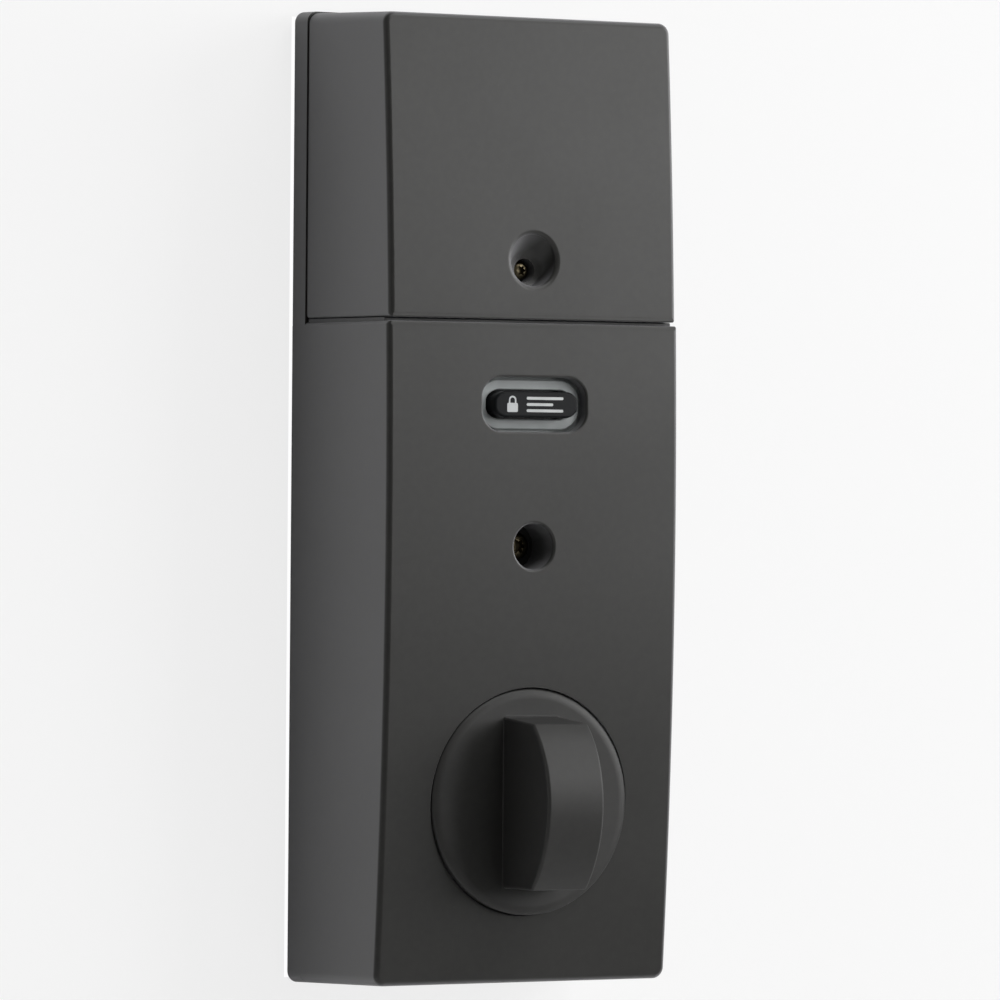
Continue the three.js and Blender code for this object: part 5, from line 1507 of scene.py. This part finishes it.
@dataclass
class Studio:
    """Pale door panel behind the lock, pale floor, soft lamps, and the camera."""

    eye: tuple[float, float, float] = (-0.8930, -1.4792, 0.0)
    aim: tuple[float, float, float] = (0.01136, -0.00707, -0.00033)
    roll: float = 0.46
    lens: float = 280.2
    ambient: float = 0.1
    world_in_gloss: float = 0.12
    shadow_ends: tuple[float, float] = (0.037, 0.06)
    panel_glow: float = 0.8
    panel_at: float = 0.003
    panel_reach: tuple[float, float, float] = (1.6, -0.9, 1.2)
    panel_gap: tuple[float, float] = (0.0372, 0.1056)
    lamps: list[Softbox] = field(default_factory=lambda: [
        Softbox("key softbox", (1.06, -0.78, 0.3), (0, 0, 0.02), (1.2, 0.72), 13),
        Softbox("edge strip", (-1.6, -0.6, 0.3), (0, 0, 0), (0.15, 0.9), 0.9),
        Softbox("rear fill", (0.7, 1.5, 0.9), (0, 0, 0), (0.9, 0.9), 22),
        Softbox("overhead", (0.35, -0.75, 0.95), (0, 0, 0.05), (0.8, 0.5), 6),
    ])

    def build(self) -> None:
        """Make everything that isn't the lock."""
        self.camera()
        for lamp in self.lamps:
            lamp.build()
        self.world()
        self.panels()

    def camera(self) -> None:
        """Long lens from the left front, level with the lock's middle and rolled a little."""
        data = bpy.data.cameras.new("camera")
        data.lens, data.sensor_width = self.lens, 36
        data.clip_start, data.clip_end = 0.05, 50
        camera = bpy.data.objects.new("camera", data)
        bpy.context.scene.collection.objects.link(camera)
        camera.location = self.eye
        turn = (Vector(self.aim) - Vector(self.eye)).to_track_quat("-Z", "Y")
        camera.rotation_mode = "QUATERNION"
        camera.rotation_quaternion = turn
        camera.rotation_mode = "XYZ"
        camera.rotation_euler.rotate_axis("Z", np.radians(self.roll))
        bpy.context.scene.camera = camera

    def world(self) -> None:
        """White to the camera and in reflections and glass, and a soft grey light otherwise."""
        world = bpy.data.worlds.new("studio air")
        world.use_nodes = True
        bpy.context.scene.world = world
        nodes = Nodes(world.node_tree)
        background = world.node_tree.nodes["Background"]
        background.inputs["Color"].default_value = (1, 1, 1, 1)
        strength = nodes.ramp(self.seen(nodes, self.world_in_gloss), 0, 1, (self.ambient, 1.0))
        nodes.join(strength, background.inputs["Strength"])

    @staticmethod
    def seen(nodes: Nodes, in_gloss: float) -> bpy.types.NodeSocket:
        """1 where the camera or a clear piece looks, the given share where a reflection looks, and else 0."""
        rays = nodes.add("ShaderNodeLightPath").outputs
        straight = nodes.math("MAXIMUM", rays["Is Camera Ray"], rays["Is Transmission Ray"])
        reflected = nodes.math("MULTIPLY", rays["Is Glossy Ray"], in_gloss)
        return nodes.math("MAXIMUM", straight, reflected)

    def panels(self) -> None:
        """Door panel close behind the lock and a floor well below.

        The panel is see-through from behind, and open where the lock covers it, so that the lock's back gets
        light of its own.
        """
        material = bpy.data.materials.new("pale panel")
        material.use_nodes = True
        nodes = Nodes(material.node_tree)
        shader = material.node_tree.nodes["Principled BSDF"]
        out = material.node_tree.nodes["Material Output"]
        where = nodes.add("ShaderNodeTexCoord").outputs["Object"]
        pale_grey = nodes.mix(nodes.noise(where, 4), (0.86, 0.86, 0.86), (0.9, 0.9, 0.9))
        nodes.join(pale_grey, shader.inputs["Base Color"])
        shader.inputs["Roughness"].default_value = 0.7
        shader.inputs["Specular IOR Level"].default_value = 0.2
        pale = nodes.add("ShaderNodeEmission")
        lit = nodes.add("ShaderNodeMixShader")
        axes = nodes.add("ShaderNodeSeparateXYZ")
        nodes.join(where, axes.inputs["Vector"])
        # Painted light in reflections: the glow that a glossy ray sees is cut to a painted shadow close to the
        # lock's sides, and it fades towards the bottom as painted light from above
        beside = nodes.ramp(nodes.math("ABSOLUTE", axes.outputs["X"], 0.0), *self.shadow_ends, (0, 1))
        higher = nodes.ramp(axes.outputs["Z"], -0.12, 0.1, (0.7, 1))
        painted_reflection_glow = nodes.math("MULTIPLY", beside, higher)
        rays = nodes.add("ShaderNodeLightPath").outputs
        clear_view = nodes.math("MAXIMUM", rays["Is Camera Ray"], rays["Is Transmission Ray"])
        mirrored = nodes.math("MULTIPLY", rays["Is Glossy Ray"], painted_reflection_glow)
        share = nodes.math("MAXIMUM", nodes.math("MULTIPLY", clear_view, self.panel_glow), mirrored)
        nodes.join(share, lit.inputs["Fac"])
        nodes.join(shader.outputs["BSDF"], lit.inputs[1])
        nodes.join(pale.outputs["Emission"], lit.inputs[2])
        clear = nodes.add("ShaderNodeBsdfTransparent")
        blend = nodes.add("ShaderNodeMixShader")
        nodes.join(nodes.add("ShaderNodeNewGeometry").outputs["Backfacing"], blend.inputs["Fac"])
        nodes.join(lit.outputs["Shader"], blend.inputs[1])
        nodes.join(clear.outputs["BSDF"], blend.inputs[2])
        nodes.join(blend.outputs["Shader"], out.inputs["Surface"])
        wide, low, high = self.panel_reach
        gap_x, gap_z = self.panel_gap
        at = self.panel_at
        outer = [(-wide, at, low), (wide, at, low), (wide, at, high), (-wide, at, high)]
        inner = [(-gap_x, at, -gap_z), (gap_x, at, -gap_z), (gap_x, at, gap_z), (-gap_x, at, gap_z)]
        around = [(i, (i + 1) % 4, 4 + (i + 1) % 4, 4 + i) for i in range(4)]
        self.panel("door_panel", outer + inner, around, material)
        ground = [(-2.5, -2.5, low), (2.5, -2.5, low), (2.5, at, low), (-2.5, at, low)]
        self.panel("floor", ground, [(0, 1, 2, 3)], material)

    @staticmethod
    def panel(
        name: str, corners: list[tuple[float, float, float]], faces: list[tuple[int, ...]],
        material: bpy.types.Material,
    ) -> None:
        """Flat panel of the given faces, which is part of the stage."""
        mesh = bpy.data.meshes.new(name)
        mesh.from_pydata(corners, [], faces)
        mesh.materials.append(material)
        item = bpy.data.objects.new(name, mesh)
        bpy.context.scene.collection.objects.link(item)


def main() -> None:
    """Build the lock, sub-assembly by sub-assembly, and the studio round it."""
    logging.basicConfig(level=logging.INFO, format="%(name)s: %(message)s")
    bpy.context.scene.view_settings.view_transform = "Standard"
    finishes = Finishes()
    Studio().build()
    Housing(finishes).build()
    Thumbturn(finishes).build()
    PushButton(finishes).build()
    for screw in all_screws():
        screw.build(finishes)
    Hardware(finishes).build()
    Batteries(finishes).build()
    Leads(finishes).build()
    dress_frame(finishes)


if __name__ == "__main__":
    main()
